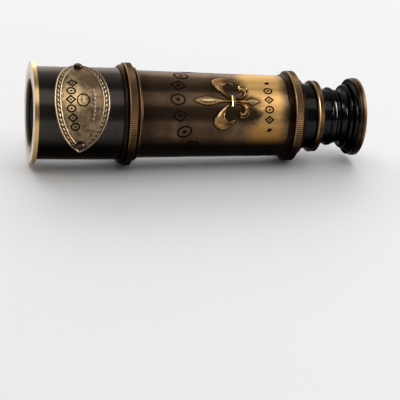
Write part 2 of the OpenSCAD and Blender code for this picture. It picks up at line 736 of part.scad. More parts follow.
curl = [[1.75, 1.75, 1.75, 0.85], [4.2, 2.05, 4.6, 0.95], [5.6, 3.1, 7.2, 2.4], [6.1, 4.5, 8.6, 4.7],
        [5.8, 5.4, 8.2, 7.1], [5.1, 5.7, 6.2, 8.5], [4.4, 5.4, 4.1, 8.3], [4.1, 4.8, 3.2, 6.6]];
band = [[-0.55, -2.6, 0.35, -2.6], [-0.45, 0, 0.45, 0], [-0.55, 2.6, 0.35, 2.6]];
thin_band = [[0.8, -2.3, 1.3, -2.3], [0.9, 0, 1.4, 0], [0.8, 2.3, 1.3, 2.3]];

// A curve through a list of points, in a number of fine steps from each point to the next
function blend(a, b, c, d, t) = 0.5 * (2 * b + (c - a) * t + (2 * a - 5 * b + 4 * c - d) * t * t
                                       + (3 * b - a - 3 * c + d) * t * t * t);
function smooth(p, fine) = [for (i = [0 : len(p) - 2])
    for (k = [0 : fine - (i == len(p) - 2 ? 0 : 1)])
        blend(p[max(i - 1, 0)], p[i], p[i + 1], p[min(i + 2, len(p) - 1)], k / fine)];

// A point of the flat drawing, laid on the barrel at a height
function on_barrel(u, v, h, side) =
    let (x = fleur_x + u, r = barrel_at(x) + h, a = fleur_turn + side * v / barrel_at(fleur_x) * 180 / PI)
    [x, -r * cos(a), r * sin(a)];

// One leaf between its two edges, mirrored across the ornament's middle by side
module leaf(line, side) {
    path = smooth(line, 3);
    n = len(path);
    under = 0.1;
    // Across the leaf: a share of its half width, and a share of its height above the barrel
    section = [[0, 0], [1, 0], [0.9, 0.5], [0.6, 1], [0, 0.6], [-0.62, 0.5], [-0.94, 0.25], [-1, 0]];
    m = len(section);
    points = [for (p = path) for (s = section)
        let (left = [p[0], p[1]], right = [p[2], p[3]], w = norm(left - right) / 2,
             q = (left + right) / 2 + s[0] * (left - right) / 2, rise = fleur_h * min(1, 0.45 + 0.5 * w))
        on_barrel(q[0], q[1], under + s[1] * (rise - under), side)];
    front = [for (k = [1 : m - 2]) [0, k, k + 1]];
    back = [for (k = [1 : m - 2]) (n - 1) * m * [1, 1, 1] + [0, k + 1, k]];
    polyhedron(points, [for (f = concat(front, back, skin_faces(n - 1, m))) turn_over(f, side > 0)]);
}

module fleur_ornament() color("darkkhaki") {
    leaf(spear, 1);
    leaf(tail, 1);
    leaf(band, 1);
    leaf(thin_band, 1);
    for (side = [-1, 1]) {
        leaf(petal, side);
        leaf(curl, side);
    }
}

objective_bezel();
objective_cell();
crown_lens();
flint_lens();
objective_retainer();
front_tube();
light_baffle();
oval_plate();
plate_screws();
joint_ring();
main_barrel();
fleur_ornament();
barrel_end_ring();
guide_sleeve_1();
draw_tube_1();
stop_ring_1();
draw_collar_1();
collar_rim_1();
guide_sleeve_2();
draw_tube_2();
stop_ring_2();
draw_collar_2();
guide_sleeve_3();
draw_tube_3();
stop_ring_3();
eyepiece_body();
eyepiece_rim();
eye_cup();
eye_lens();
eye_lens_retainer();
eyepiece_spacer();
field_stop();
field_lens();
erector_cell();
erector_lens_front();
erector_lens_rear();
erector_stop();
erector_retainers();
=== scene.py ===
"""A pocket spyglass in aged brass, lying closed on a pale floor.

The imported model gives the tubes, rings, draws and lenses. This script finishes them, and models
the oval plate, the fleur-de-lis and the engraving that lie on the barrel.
"""

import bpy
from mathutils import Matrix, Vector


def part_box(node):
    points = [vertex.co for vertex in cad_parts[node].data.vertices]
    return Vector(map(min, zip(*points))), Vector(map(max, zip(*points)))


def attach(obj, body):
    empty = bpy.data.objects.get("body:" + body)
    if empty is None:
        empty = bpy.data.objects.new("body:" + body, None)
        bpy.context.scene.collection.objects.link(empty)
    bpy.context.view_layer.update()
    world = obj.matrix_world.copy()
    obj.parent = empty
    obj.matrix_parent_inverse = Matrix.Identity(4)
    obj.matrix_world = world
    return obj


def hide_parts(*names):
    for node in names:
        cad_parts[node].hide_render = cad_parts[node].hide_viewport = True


bl_info = {
    "name": "Pocket Spyglass",
    "version": (1, 0, 0),
    "blender": (4, 5, 0),
    "location": "3D View > Sidebar > Spyglass",
    "description": "Finishes a brass spyglass and models its plate, ornament and engraving",
    "category": "Object",
}

from math import atan2, cos, hypot, pi, radians, sin, sqrt

import bmesh
import bpy
from bpy.props import FloatProperty, FloatVectorProperty, IntProperty, PointerProperty
from mathutils import Matrix, Vector

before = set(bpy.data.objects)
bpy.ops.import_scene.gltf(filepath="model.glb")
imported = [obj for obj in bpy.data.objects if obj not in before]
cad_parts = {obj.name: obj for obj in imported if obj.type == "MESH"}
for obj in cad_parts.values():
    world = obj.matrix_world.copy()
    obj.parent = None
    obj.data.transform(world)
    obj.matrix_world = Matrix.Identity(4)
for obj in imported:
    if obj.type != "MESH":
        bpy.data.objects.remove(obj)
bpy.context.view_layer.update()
MM = 0.001


def span(node, axis=0):
    """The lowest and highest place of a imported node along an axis."""
    low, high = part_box(node)
    return low[axis], high[axis]


def outer_radius(node, low, high):
    """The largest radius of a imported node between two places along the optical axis."""
    points = [v.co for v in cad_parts[node].data.vertices if low <= v.co.x <= high]
    return max(hypot(p.y, p.z) for p in points)


# Places along the optical axis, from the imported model
JOINT_START, JOINT_END = span("joint_ring")
END_START, END_END = span("barrel_end_ring")
FRONT_R = span("front_tube", 2)[1]
BARREL_R1 = span("main_barrel", 2)[1]
BARREL_R2 = outer_radius("main_barrel", END_START + MM, END_END)
JOINT_R = span("joint_ring", 2)[1]
END_R = span("barrel_end_ring", 2)[1]
RIM_START = span("collar_rim_1")[0]
PLATE_LOW, PLATE_HIGH = span("oval_plate")
FLEUR_START = span("fleur_ornament")[0]
OPENING_R = min(hypot(v.co.y, v.co.z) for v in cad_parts["objective_bezel"].data.vertices)
BARREL_SLOPE = (BARREL_R2 - BARREL_R1) / (END_START - JOINT_END)

# How a leaf of the ornament is built: finer rows between two given ones, and in millimetres the
# width of its skirt, which carries a painted shadow round the leaf, the half width at which the
# leaf is tallest, and where a petal's belly grows
LEAF_STEPS = 6
LEAF_SHADOW_SKIRT = 0.35
LEAF_TALLEST = 1.1
BELLY_START, BELLY_END = 6, 10.5

# Colours of the surfaces that little light reaches, and of wax and bloomed glass seen edge on
SHADE_BLACK = (0.008, 0.006, 0.005)
TUBE_BLACK = (0.004, 0.004, 0.004)
CHANNEL_BROWN = (0.026, 0.018, 0.013)
FOOT_BLACK = (0.006, 0.004, 0.003)
FACE_BROWN = (0.050, 0.034, 0.024)
WALL_BROWN = (0.115, 0.088, 0.070)
WAX_EDGE = (0.2, 0.2, 0.2)
BLOOM_EDGE = (0.05, 0.05, 0.06)


def barrel_radius(x):
    """The barrel's outer radius at a place between the two knurled rings."""
    return BARREL_R1 + BARREL_SLOPE * (x - JOINT_END)


def clamp(value):
    """The value, held between 0 and 1."""
    return min(max(value, 0), 1)


def toned(colour, share):
    """A colour made darker, or lighter where the share is above 1."""
    return tuple(c * share for c in colour)


# Shaders


class Term:
    """One value in a shader, so that shader maths reads as Python expressions."""

    def __init__(self, shader, socket):
        self.shader = shader
        self.socket = socket

    def __add__(self, other):
        return self.shader.math("ADD", self, other)

    def __sub__(self, other):
        return self.shader.math("SUBTRACT", self, other)

    def __rsub__(self, other):
        return self.shader.math("SUBTRACT", other, self)

    def __mul__(self, other):
        return self.shader.math("MULTIPLY", self, other)

    def __truediv__(self, other):
        return self.shader.math("DIVIDE", self, other)

    __radd__ = __add__
    __rmul__ = __mul__


class Shader:
    """A material under construction, with its place on the object in millimetres."""

    def __init__(self, name):
        self.material = bpy.data.materials.new(name)
        self.material.use_nodes = True
        self.tree = self.material.node_tree
        self.tree.nodes.clear()
        coordinates = self.node("ShaderNodeTexCoord", output="Object")
        scale = {"operation": "SCALE"}
        self.place = self.node("ShaderNodeVectorMath", scale, {0: coordinates, "Scale": 1 / MM})
        parts = self.node("ShaderNodeSeparateXYZ", inputs={0: self.place}).socket.node
        self.x, self.y, self.z = (Term(self, socket) for socket in parts.outputs)
        self.radius = self.math("SQRT", self.y * self.y + self.z * self.z)
        self.turn = self.math("ARCTAN2", self.z, 0 - self.y)

    def node(self, kind, settings=None, inputs=None, output=0):
        """Adds a node, sets it up, fills its sockets and returns one of its outputs."""
        node = self.tree.nodes.new(kind)
        for name, value in (settings or {}).items():
            setattr(node, name, value)
        for key, value in (inputs or {}).items():
            socket = node.inputs[key]
            if isinstance(value, Term):
                self.tree.links.new(value.socket, socket)
            elif socket.type == "RGBA":
                socket.default_value = (*value[:3], 1)
            else:
                socket.default_value = value
        return Term(self, node.outputs[output])

    def math(self, operation, *terms):
        """One Math node on values."""
        return self.node("ShaderNodeMath", {"operation": operation}, dict(enumerate(terms)))

    def rise(self, value, low, high):
        """0 below low, 1 above high and a smooth step between them."""
        inputs = {0: value, 1: low, 2: high, 3: 0, 4: 1}
        return self.node("ShaderNodeMapRange", {"interpolation_type": "SMOOTHSTEP"}, inputs)

    def fall(self, value, low, high):
        """1 below low, 0 above high and a smooth step between them."""
        return 1 - self.rise(value, low, high)

    def band(self, value, low, high, soft):
        """1 between low and high, with soft edges outside them."""
        return self.rise(value, low - soft, low) * self.fall(value, high, high + soft)

    def most(self, first, *others):
        """The largest of some values."""
        for other in others:
            first = self.math("MAXIMUM", first, other)
        return first

    def away(self, first, second, share=1.0):
        """The distance from an oval's middle, where the second way counts for a share."""
        return self.math("SQRT", first * first + second * second * share)

    def noise(self, scale, detail=4.0, roughness=0.55, stretch=(1, 1, 1), shift=(0, 0, 0)):
        """Noise on the place in millimetres: scale is features a millimetre along each axis."""
        ways = tuple(scale * way for way in stretch)
        placed = self.node("ShaderNodeVectorMath", {"operation": "MULTIPLY_ADD"},
                           {0: self.place, 1: ways, 2: shift})
        inputs = {"Vector": placed, "Scale": 1.0, "Detail": detail, "Roughness": roughness}
        return self.node("ShaderNodeTexNoise", inputs=inputs)

    def mix(self, first, second, share):
        """The first colour where the share is 0, and the second where it is 1."""
        inputs = {0: share, 6: first, 7: second}
        return self.node("ShaderNodeMix", {"data_type": "RGBA"}, inputs, output=2)

    def bump(self, height, depth):
        """Relief from a height of 0 to 1, with its full depth in millimetres."""
        inputs = {"Height": height, "Distance": depth * MM, "Strength": 1.0}
        return self.node("ShaderNodeBump", inputs=inputs)

    def surface(self, **sockets):
        """Ends the material with a Principled surface and returns the material."""
        inputs = {name.replace("_", " "): value for name, value in sockets.items()}
        shader = self.node("ShaderNodeBsdfPrincipled", inputs=inputs)
        end = self.tree.nodes.new("ShaderNodeOutputMaterial")
        self.tree.links.new(shader.socket, end.inputs["Surface"])
        return self.material

    def metal(self, colour, roughness, relief, edge):
        """Ends the material with a metal surface, tinted where it is seen edge on."""
        return self.surface(Base_Color=colour, Metallic=1.0, Roughness=roughness, Normal=relief,
                            Specular_Tint=edge)


def turned_marks(shader, finest=14.0):
    """Fine lines that a lathe leaves round a turned surface."""
    return shader.noise(finest, detail=2.0, stretch=(1, 0.02, 0.02))


def grime(shader, scale):
    """Uneven patina, with finer mottling on top."""
    broad = shader.noise(scale, detail=5.0, roughness=0.6)
    fine = shader.noise(scale * 8, detail=4.0, roughness=0.65, shift=(7, 3, 5))
    return broad * 0.65 + fine * 0.35


def painted_underside_shade(shader):
    """1 on the sides and the top, falling towards 0 underneath: painted shade that darkens the
    metals towards the bottom.
    """
    return shader.rise(shader.z / shader.radius, -0.52, -0.16)


def aged_barrel(colours, place, turn):
    """The main barrel: dark brown patina, rubbed back to golden brass towards the eye end."""
    s = Shader("aged_barrel")
    brown = colours.barrel_patina
    first, last = JOINT_END / MM, END_START / MM
    # Millimetres along the barrel and round it from the ornament's band, and the height up its side
    u = s.x - place / MM
    v = (s.turn - turn) * (barrel_radius(place) / MM)
    level = s.z / s.radius
    patina = grime(s, scale=0.09)
    streaks = s.noise(scale=0.3, detail=3.0, stretch=(0.1, 1, 1), shift=(2, 9, 4))
    clouds = s.noise(scale=0.045, detail=3.0, stretch=(1.4, 1, 1), shift=(3, 6, 1))
    wander = (patina - 0.5) * 15
    # Gold starts behind the petals, sooner near the top, and fades out before the knurled ring
    upper = s.rise(level, 0.42, 0.70)
    behind = s.rise(u + wander * 0.55, 4 - upper * 2.5, 14 - upper * 3)
    before = s.fall(s.x + wander * 0.35, last - 6.0, last + 0.5)
    # Dark patina, with painted shadow, stays round the petals, round the tail and under the lower
    # curl
    petals = s.fall(s.away(u + 3.5, v, share=0.30) + wander * 0.6, 6.0, 11.0)
    tail = s.fall(s.away(v, u - 7.5, share=0.22) + wander * 0.3, 2.2, 5.0)
    curl = s.fall(s.away(v + 6.5, u - 8, share=0.8) + wander * 0.7, 3.8, 9.6)
    hollow = s.most(petals, tail, curl)
    gold = s.math("MINIMUM", behind * before * (1 - hollow * 0.94) * (0.80 + streaks * 0.35), 1.0)
    # The patina lightens towards the gold, has broad clouds, and is black beside the joint ring
    lighter = s.rise(u + wander, -40, -6) * 0.45 + s.rise(streaks, 0.42, 0.66) * 0.35
    sooty = s.fall(s.x + wander * 0.4, first + 1, first + 10)
    base = s.mix(toned(brown, 0.55), brown, lighter * (1 - sooty * 0.5) * (1 - hollow * 0.85))
    base = s.mix(base, toned(brown, 1.6), s.rise(clouds, 0.50, 0.68) * (1 - hollow) * 0.6)
    base = s.mix(base, toned(brown, 0.35), s.fall(clouds, 0.34, 0.47) * 0.6)
    base = s.mix(base, toned(brown, 0.28), sooty * 0.8)
    # The brass is palest where it is rubbed most; a painted highlight lightens it along the top
    # over a band of painted shade, and a painted reflection turns it amber low on the side
    shaded = s.rise(level, 0.46, 0.62) * s.fall(level, 0.70, 0.82)
    painted_top_sheen = s.rise(level, 0.80, 0.96) - shaded * 0.8
    rubbed = s.rise(streaks * 0.6 + patina * 0.4 + painted_top_sheen * 0.22, 0.42, 0.74)
    bright = s.mix(colours.barrel_rubbed, colours.barrel_worn, rubbed)
    bright = s.mix(bright, colours.barrel_low_reflection, s.fall(level, -0.18, 0.29))
    # Painted shade: the barrel goes nearly black underneath
    colour = s.mix(toned(brown, 0.05), s.mix(base, bright, gold), painted_underside_shade(s))
    # Painted shade: the inside of the barrel is coloured near black
    inside = s.fall(s.radius, BARREL_R2 / MM - 0.9, BARREL_R2 / MM - 0.5)
    rough = 0.17 + patina * 0.12 + gold * 0.19 + inside * 0.3
    relief = s.bump(turned_marks(s) * 0.4 + patina * 0.6, depth=0.010)
    return s.metal(s.mix(colour, SHADE_BLACK, inside), rough, relief, colours.edge_tint)


def dark_tube(colours):
    """The front tube: nearly black bronze, smooth, with faint brown clouds."""
    s = Shader("dark_tube")
    bronze = colours.front_dark
    patina = grime(s, scale=0.08)
    scratches = s.rise(s.noise(scale=1.1, detail=3.0, stretch=(0.08, 1, 1)), 0.66, 0.78)
    colour = s.mix(bronze, toned(bronze, 1.7), s.rise(patina, 0.40, 0.72) * 0.7 + scratches * 0.2)
    # Painted shade: the tube goes nearly black underneath
    colour = s.mix(toned(bronze, 0.06), colour, painted_underside_shade(s))
    # Painted shade: the inside of the tube is coloured near black
    inside = s.fall(s.radius, FRONT_R / MM - 1.0, FRONT_R / MM - 0.5)
    rough = 0.16 + patina * 0.12 + inside * 0.4
    relief = s.bump(turned_marks(s) * 0.5 + patina * 0.5, depth=0.006)
    return s.metal(s.mix(colour, TUBE_BLACK, inside), rough, relief, colours.edge_tint)


def ring_bronze(name, colours, crest, lines):
    """Aged bronze of the rings: dark in the hollows, rubbed and lit by a painted highlight on the
    crest, and with painted highlights on thin lines.

    A painted highlight line is an edge of the ring and the line's two sides, in millimetres from
    that edge.
    """
    s = Shader(name)
    bronze = colours.ring_bronze
    top = crest / MM
    patina = grime(s, scale=0.25)
    fine = s.noise(scale=1.8, detail=4.0, roughness=0.7)
    # The crest is rubbed and carries a painted highlight, and the lines are painted highlights
    rubbed = s.rise(s.radius + (fine - 0.5) * 0.2, top - 0.34, top - 0.02) * 0.4
    for edge, low, high in lines:
        rubbed = s.most(rubbed, s.band(s.x, edge / MM + low, edge / MM + high, soft=0.12) * 0.85)
    hollow = s.mix(bronze, toned(bronze, 0.10), s.fall(s.radius, top - 1.4, top - 0.5) * 0.95)
    clouded = s.mix(hollow, toned(bronze, 0.35), s.rise(patina, 0.42, 0.66))
    colour = s.mix(clouded, colours.ring_rubbed_and_lit, rubbed * (0.35 + patina * 0.75))
    # Painted shade: the ring goes nearly black underneath
    colour = s.mix(toned(bronze, 0.10), colour, painted_underside_shade(s))
    rough = 0.24 + patina * 0.2 + rubbed * 0.06
    relief = s.bump(turned_marks(s, finest=9.0) * 0.4 + fine * 0.6, depth=0.012)
    return s.metal(colour, rough, relief, colours.edge_tint)


def rim_brass(colours):
    """The objective rim: bright brass, turned, with a tarnished face round the dark opening,
    darkened there by painted shade.
    """
    s = Shader("rim_brass")
    edge = span("objective_bezel", 2)[1] / MM
    opening = OPENING_R / MM
    patina = grime(s, scale=0.3)
    rings = s.node("ShaderNodeTexNoise", {"noise_dimensions": "1D"},
                   {"W": s.radius * 7.0, "Scale": 1.0, "Detail": 3.0})
    face = s.fall(s.x, 0.05, 0.3)
    flat = face * s.fall(s.radius, edge - 1.1, edge - 0.5)
    # Painted shade darkens the face towards the opening, most of all on the side of the plate, and
    # the side is tarnished, with painted shade underneath
    near = s.rise(0 - s.y / s.radius, 0.2, 0.85)
    deep = s.fall(s.radius + (patina - 0.5) * 1.5, opening + 0.5, edge - 1.6)
    tarnish_and_shade = s.rise(patina, 0.5, 0.8) * 0.35 + (1 - painted_underside_shade(s)) * 0.3
    side = s.mix(colours.rim_brass, colours.ring_bronze, tarnish_and_shade)
    plain = s.mix(colours.rim_face, colours.ring_bronze, deep * 0.4)
    matt_and_shaded = flat * deep * (0.2 + near * 0.8)
    colour = s.mix(s.mix(side, plain, flat), FACE_BROWN, matt_and_shaded)
    # The opening's wall is matt brown, and painted shade makes it go dark behind, as it makes the
    # skirt inside the tube
    wall = s.fall(s.radius, opening + 0.15, opening + 0.7)
    skirt = s.rise(s.x, 1.2, 1.5) * s.fall(s.radius, FRONT_R / MM - 0.4, FRONT_R / MM)
    dark = s.most(skirt, wall * s.rise(s.x, 0.5, 1.7))
    matt_and_shaded = s.most(matt_and_shaded, wall * 0.7)
    colour = s.mix(colour, WALL_BROWN, wall * 0.9)
    rough = s.math("MINIMUM", 0.18 + patina * 0.14 + dark * 0.4 + matt_and_shaded * 0.6, 0.9)
    relief = s.bump(rings * face + turned_marks(s, finest=6.0) * (1 - face), depth=0.01)
    return s.surface(Base_Color=s.mix(colour, SHADE_BLACK, dark), Metallic=1 - matt_and_shaded, Roughness=rough,
                     Normal=relief)


def black_enamel(colours):
    """Gloss black enamel over turned brass, with faint dust, and painted shade that makes it
    blackest underneath.
    """
    s = Shader("black_enamel")
    dust = s.noise(scale=0.5, detail=6.0, roughness=0.7)
    colour = s.mix(colours.enamel, toned(colours.enamel, 1.8), s.rise(dust, 0.62, 0.78) * 0.6)
    # Painted shade: the enamel goes blacker underneath
    colour = s.mix(toned(colours.enamel, 0.08), colour, painted_underside_shade(s))
    relief = s.bump(turned_marks(s, finest=5.0), depth=0.0008)
    return s.metal(colour, 0.09 + dust * 0.06, relief, colours.enamel_edge)


def draw_brass(colours):
    """The draws: smooth brass with fine scratches along their travel."""
    s = Shader("draw_brass")
    patina = grime(s, scale=0.1)
    scratches = s.noise(scale=2.2, detail=3.0, stretch=(0.03, 1, 1))
    colour = s.mix(colours.draw_brass, colours.ring_bronze, s.rise(patina, 0.52, 0.85) * 0.45)
    return s.surface(Base_Color=colour, Metallic=1.0,
                     Roughness=0.2 + scratches * 0.12 + patina * 0.08,
                     Normal=s.bump(scratches * 0.6 + turned_marks(s) * 0.4, depth=0.006))


def inner_brass(colours):
    """Brass of the pieces inside: turned and satin."""
    s = Shader("inner_brass")
    marks = turned_marks(s, finest=8.0)
    colour = s.mix(toned(colours.draw_brass, 0.6), colours.draw_brass, marks)
    return s.surface(Base_Color=colour, Metallic=1.0, Roughness=0.3 + marks * 0.15,
                     Normal=s.bump(marks, depth=0.01))


def optical_black():
    """Matt black that kills stray light."""
    s = Shader("optical_black")
    grain = s.noise(scale=3.0, detail=3.0)
    colour = s.mix((0.006, 0.006, 0.006), (0.014, 0.013, 0.012), grain)
    return s.surface(Base_Color=colour, Metallic=0.0, Roughness=0.75 + grain * 0.15,
                     Normal=s.bump(grain, depth=0.02))


def dark_steel(colours):
    """Blackened screw heads, rubbed brown on their crowns."""
    s = Shader("dark_steel")
    patina = grime(s, scale=0.8)
    crown = s.rise(s.radius, FRONT_R / MM + 1.9, FRONT_R / MM + 2.4)
    colour = s.mix(colours.screw, toned(colours.screw, 6), crown * (0.35 + patina * 0.5))
    relief = s.bump(patina, depth=0.03)
    return s.metal(colour, 0.18 + patina * 0.2, relief, colours.edge_tint)


def lens_glass():
    """Clear bloomed glass, which reflects little."""
    s = Shader("lens_glass")
    smears = s.noise(scale=0.2, detail=2.0)
    colour = s.mix((0.93, 0.97, 1.0), (0.88, 0.93, 0.97), smears)
    return s.surface(Base_Color=colour, Metallic=0.0, Roughness=0.01 + smears * 0.015,
                     Transmission_Weight=1.0, IOR=1.5)


def bloomed_glass():
    """The objective's front glass under its blue bloom: nearly clear, and dark seen edge on."""
    s = Shader("bloomed_glass")
    smears = s.noise(scale=0.15, detail=3.0)
    colour = s.mix((0.16, 0.24, 0.34), (0.26, 0.30, 0.36), smears)
    return s.surface(Base_Color=colour, Metallic=1.0, Roughness=0.02 + smears * 0.03,
                     Alpha=0.14 + smears * 0.06, Specular_Tint=BLOOM_EDGE)


def plate_metal(colours, plate):
    """The oval plate: golden tan where it is rubbed, stained brown, with pale raised lines."""
    s = Shader("plate_metal")
    # Millimetres along the tube and round it from the plate's middle, and out from the tube
    u = s.x - plate.x / MM
    v = (s.turn - plate.turn) * (FRONT_R / MM)
    height = s.radius - FRONT_R / MM
    patina = grime(s, scale=0.26)
    specks = s.noise(scale=1.5, detail=6.0, roughness=0.75)
    mottled = patina * 0.5 + specks * 0.5
    # The field is rubbed along the row of large lozenges and most stained at its top corner
    stained = s.rise(mottled, 0.44, 0.56)
    corner = s.rise(v + u * 0.8 + (patina - 0.5) * 14, 6, 15)
    rubbed = s.fall(s.away(u + 5, v - 1, share=0.22) + (patina - 0.5) * 7, 1.5, 7.0)
    field = s.mix(colours.plate_field, colours.plate_worn, rubbed * 0.9)
    stain = s.most(stained * (0.88 - rubbed * 0.5), corner * 0.7)
    field = s.mix(field, colours.plate_stain, stain)
    # The raised lines are worn unevenly, the star scatters most, and painted shade darkens the
    # channel
    star = s.fall(s.away(u - plate.star_x / MM, v - plate.star_v / MM), 3.0, 3.3)
    worn = 0.35 + s.rise(mottled, 0.36, 0.60) * 0.65
    lines = s.rise(height + (specks - 0.5) * 0.08, 0.72, 0.84) * worn * (1 - star * 0.8)
    channel = s.fall(height, 0.44, 0.57)
    colour = s.mix(field, colours.plate_line, lines * 0.95)
    colour = s.mix(colour, CHANNEL_BROWN, channel * 0.8)
    rough = 0.30 + specks * 0.2 + lines * 0.16 + star * 0.22
    relief = s.bump(specks * 0.7 + patina * 0.3, depth=0.08)
    return s.metal(colour, rough, relief, colours.edge_tint)


def fleur_metal(colours, fleur):
    """The ornament: warm gold with ridges that are rubbed and carry a painted highlight, black in
    its hollows, and with a painted shadow round its outline.
    """
    s = Shader("fleur_metal")
    lift = fleur.lift / MM
    u = s.x - fleur.x / MM
    v = s.math("ABSOLUTE", (s.turn - fleur.turn) * (barrel_radius(fleur.x) / MM))
    height = s.radius - (BARREL_R1 / MM + (s.x - JOINT_END / MM) * BARREL_SLOPE)
    patina = grime(s, scale=0.5)
    fine = (s.noise(scale=2.2, detail=4.0) - 0.5) * 0.12
    flecks = s.rise(s.noise(scale=0.9, detail=4.0, shift=(4, 1, 8)), 0.42, 0.60)
    # The ridges are rubbed and carry a painted highlight where they are tallest
    top = s.rise(height + fine, lift * 0.74, lift * 0.95)
    # Patina blackens the hollows, and a painted shadow blackens the low skirt round the outline
    patina_and_outline_shadow = s.fall(height + fine * 0.6, lift * 0.14, lift * 0.40)
    # The petals' bellies are warm and have no bright ridge, and they darken to their tips
    belly = s.rise(v + (patina - 0.5) * 2, 8.0, 11.0)
    tip = belly * s.rise(u + (patina - 0.5) * 3, -6.5, -1.5)
    body = s.mix(colours.fleur_body, toned(colours.fleur_body, 0.35), s.rise(patina, 0.42, 0.62))
    warm = s.mix(colours.fleur_belly, toned(colours.fleur_belly, 0.3), flecks)
    crest = s.mix(colours.fleur_ridge_worn_and_lit, warm, belly)
    colour = s.mix(body, crest, s.most(top, belly * 0.6))
    colour = s.mix(colour, toned(colours.fleur_belly, 0.16), tip * 0.8)
    colour = s.mix(colour, FOOT_BLACK, patina_and_outline_shadow)
    relief = s.bump(patina, depth=0.03)
    return s.metal(colour, 0.2 + patina * 0.16, relief, colours.edge_tint)


def engraved_fill():
    """Black wax in the engraved lines."""
    s = Shader("engraved_fill")
    grain = s.noise(scale=2.0, detail=4.0)
    colour = s.mix((0.0015, 0.0012, 0.001), (0.008, 0.006, 0.004), grain)
    return s.metal(colour, 0.45 + grain * 0.2, s.bump(grain, depth=0.02), WAX_EDGE)


def floor_paint(colours):
    """Pale matt board, with a very slight unevenness."""
    s = Shader("floor_paint")
    cloud = s.noise(scale=0.004, detail=3.0)
    colour = s.mix(toned(colours.floor, 0.985), colours.floor, cloud)
    return s.surface(Base_Color=colour, Metallic=0.0, Roughness=0.6)


# Modelling


class Editing:
    """Puts an object in edit mode for a with block."""

    def __init__(self, piece):
        self.piece = piece

    def __enter__(self):
        choose(self.piece)
        bpy.ops.object.mode_set(mode="EDIT")

    def __exit__(self, *error):
        bpy.ops.object.mode_set(mode="OBJECT")


def choose(*pieces):
    """Selects these objects alone, with the first one active."""
    bpy.ops.object.select_all(action="DESELECT")
    for piece in pieces:
        piece.select_set(True)
    bpy.context.view_layer.objects.active = pieces[0]


def named(name):
    """Names the active object and its mesh."""
    piece = bpy.context.active_object
    piece.name = name
    piece.data.name = name
    return piece


def started(name, primitive, **options):
    """Adds a primitive, with everything else deselected, and names it."""
    bpy.ops.object.select_all(action="DESELECT")
    primitive(**options)
    return named(name)


def select_edges(piece, test):
    """Selects the edges that pass a test, in edit mode."""
    mesh = bmesh.from_edit_mesh(piece.data)
    for edge in mesh.edges:
        edge.select_set(test(edge))
    mesh.select_flush_mode()
    bmesh.update_edit_mesh(piece.data)


def extrude_up(height):
    """Extrudes the selected faces upwards, in edit mode."""
    bpy.ops.mesh.extrude_region_move(TRANSFORM_OT_translate={"value": (0, 0, height)})


def inset_up(width, height):
    """Insets the selected faces and lifts them, in edit mode."""
    bpy.ops.mesh.inset(thickness=width, depth=0)
    bpy.ops.transform.translate(value=(0, 0, height))


def shape(piece, place):
    """Moves each vertex to the place that a function of its old place gives."""
    for vertex in piece.data.vertices:
        vertex.co = place(vertex.co)
    piece.data.update()


def shift(piece, x, y, z):
    """Moves a piece's mesh."""
    shape(piece, lambda p: p + Vector((x, y, z)))


def tidy_mesh(piece, angle=radians(35)):
    """Closes seams, turns the faces outwards and smooths all but sharp edges."""
    with Editing(piece):
        bpy.ops.mesh.select_all(action="SELECT")
        bpy.ops.mesh.remove_doubles(threshold=1e-6)
        bpy.ops.mesh.normals_make_consistent(inside=False)
    choose(piece)
    bpy.ops.object.shade_smooth_by_angle(angle=angle)


def twin(piece, move):
    """A copy of a piece with its own mesh, moved by a matrix."""
    other = piece.copy()
    other.data = piece.data.copy()
    other.data.transform(move)
    bpy.context.scene.collection.objects.link(other)
    return other


def joined(name, *pieces):
    """Joins pieces into one."""
    choose(*pieces)
    bpy.ops.object.join()
    return named(name)


def copies(piece, places, name):
    """Copies a modelled piece to each place of a flat drawing and joins the copies.

    A place is (u, v, turn, scale), and the copies keep their height.
    """
    made = []
    for u, v, turn, scale in places:
        turned = Matrix.Rotation(turn, 4, "Z") @ Matrix.Scale(scale, 4)
        made.append(twin(piece, Matrix.Translation((u, v, 0)) @ turned))
    bpy.data.objects.remove(piece)
    return joined(name, *made)


def cut_out(piece, cutter):
    """Cuts the cutter's shape out of a piece and removes the cutter."""
    choose(piece)
    cut = piece.modifiers.new("cut", "BOOLEAN")
    cut.operation = "DIFFERENCE"
    cut.object = cutter
    cut.solver = "EXACT"
    bpy.ops.object.modifier_apply(modifier="cut")
    bpy.data.objects.remove(cutter)


def lay_on(piece, x, turn, radius):
    """Bends a flat drawing, with its height along Z, round the tube at a place and a turn."""
    round_tube = radius(x)

    def place(point):
        along = x + point.x
        out = radius(along) + point.z
        angle = turn + point.y / round_tube
        return Vector((along, -out * cos(angle), out * sin(angle)))

    shape(piece, place)


def dress(piece, material, body="barrel", replaces=()):
    """Gives a finished piece its material and its body, and hides the nodes it stands for."""
    piece.data.materials.clear()
    piece.data.materials.append(material)
    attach(piece, body)
    if replaces:
        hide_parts(*replaces)


def paint(material, *nodes):
    """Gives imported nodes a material."""
    for node in nodes:
        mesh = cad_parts[node].data
        mesh.materials.clear()
        mesh.materials.append(material)


def curve_point(a, b, c, d, t):
    """A point between b and c on a smooth curve through four points."""
    point = []
    for p, q, r, s in zip(a, b, c, d):
        square = 2 * p - 5 * q + 4 * r - s
        cube = 3 * q - p - 3 * r + s
        point.append(0.5 * (2 * q + (r - p) * t + square * t * t + cube * t ** 3))
    return point


def smooth_path(points, fine):
    """A finer list of points along a smooth curve through the given ones."""
    last = len(points) - 1
    path = []
    for i in range(last):
        corners = [points[max(i - 1, 0)], points[i], points[i + 1], points[min(i + 2, last)]]
        path += [curve_point(*corners, k / fine) for k in range(fine)]
    return path + [list(points[last])]


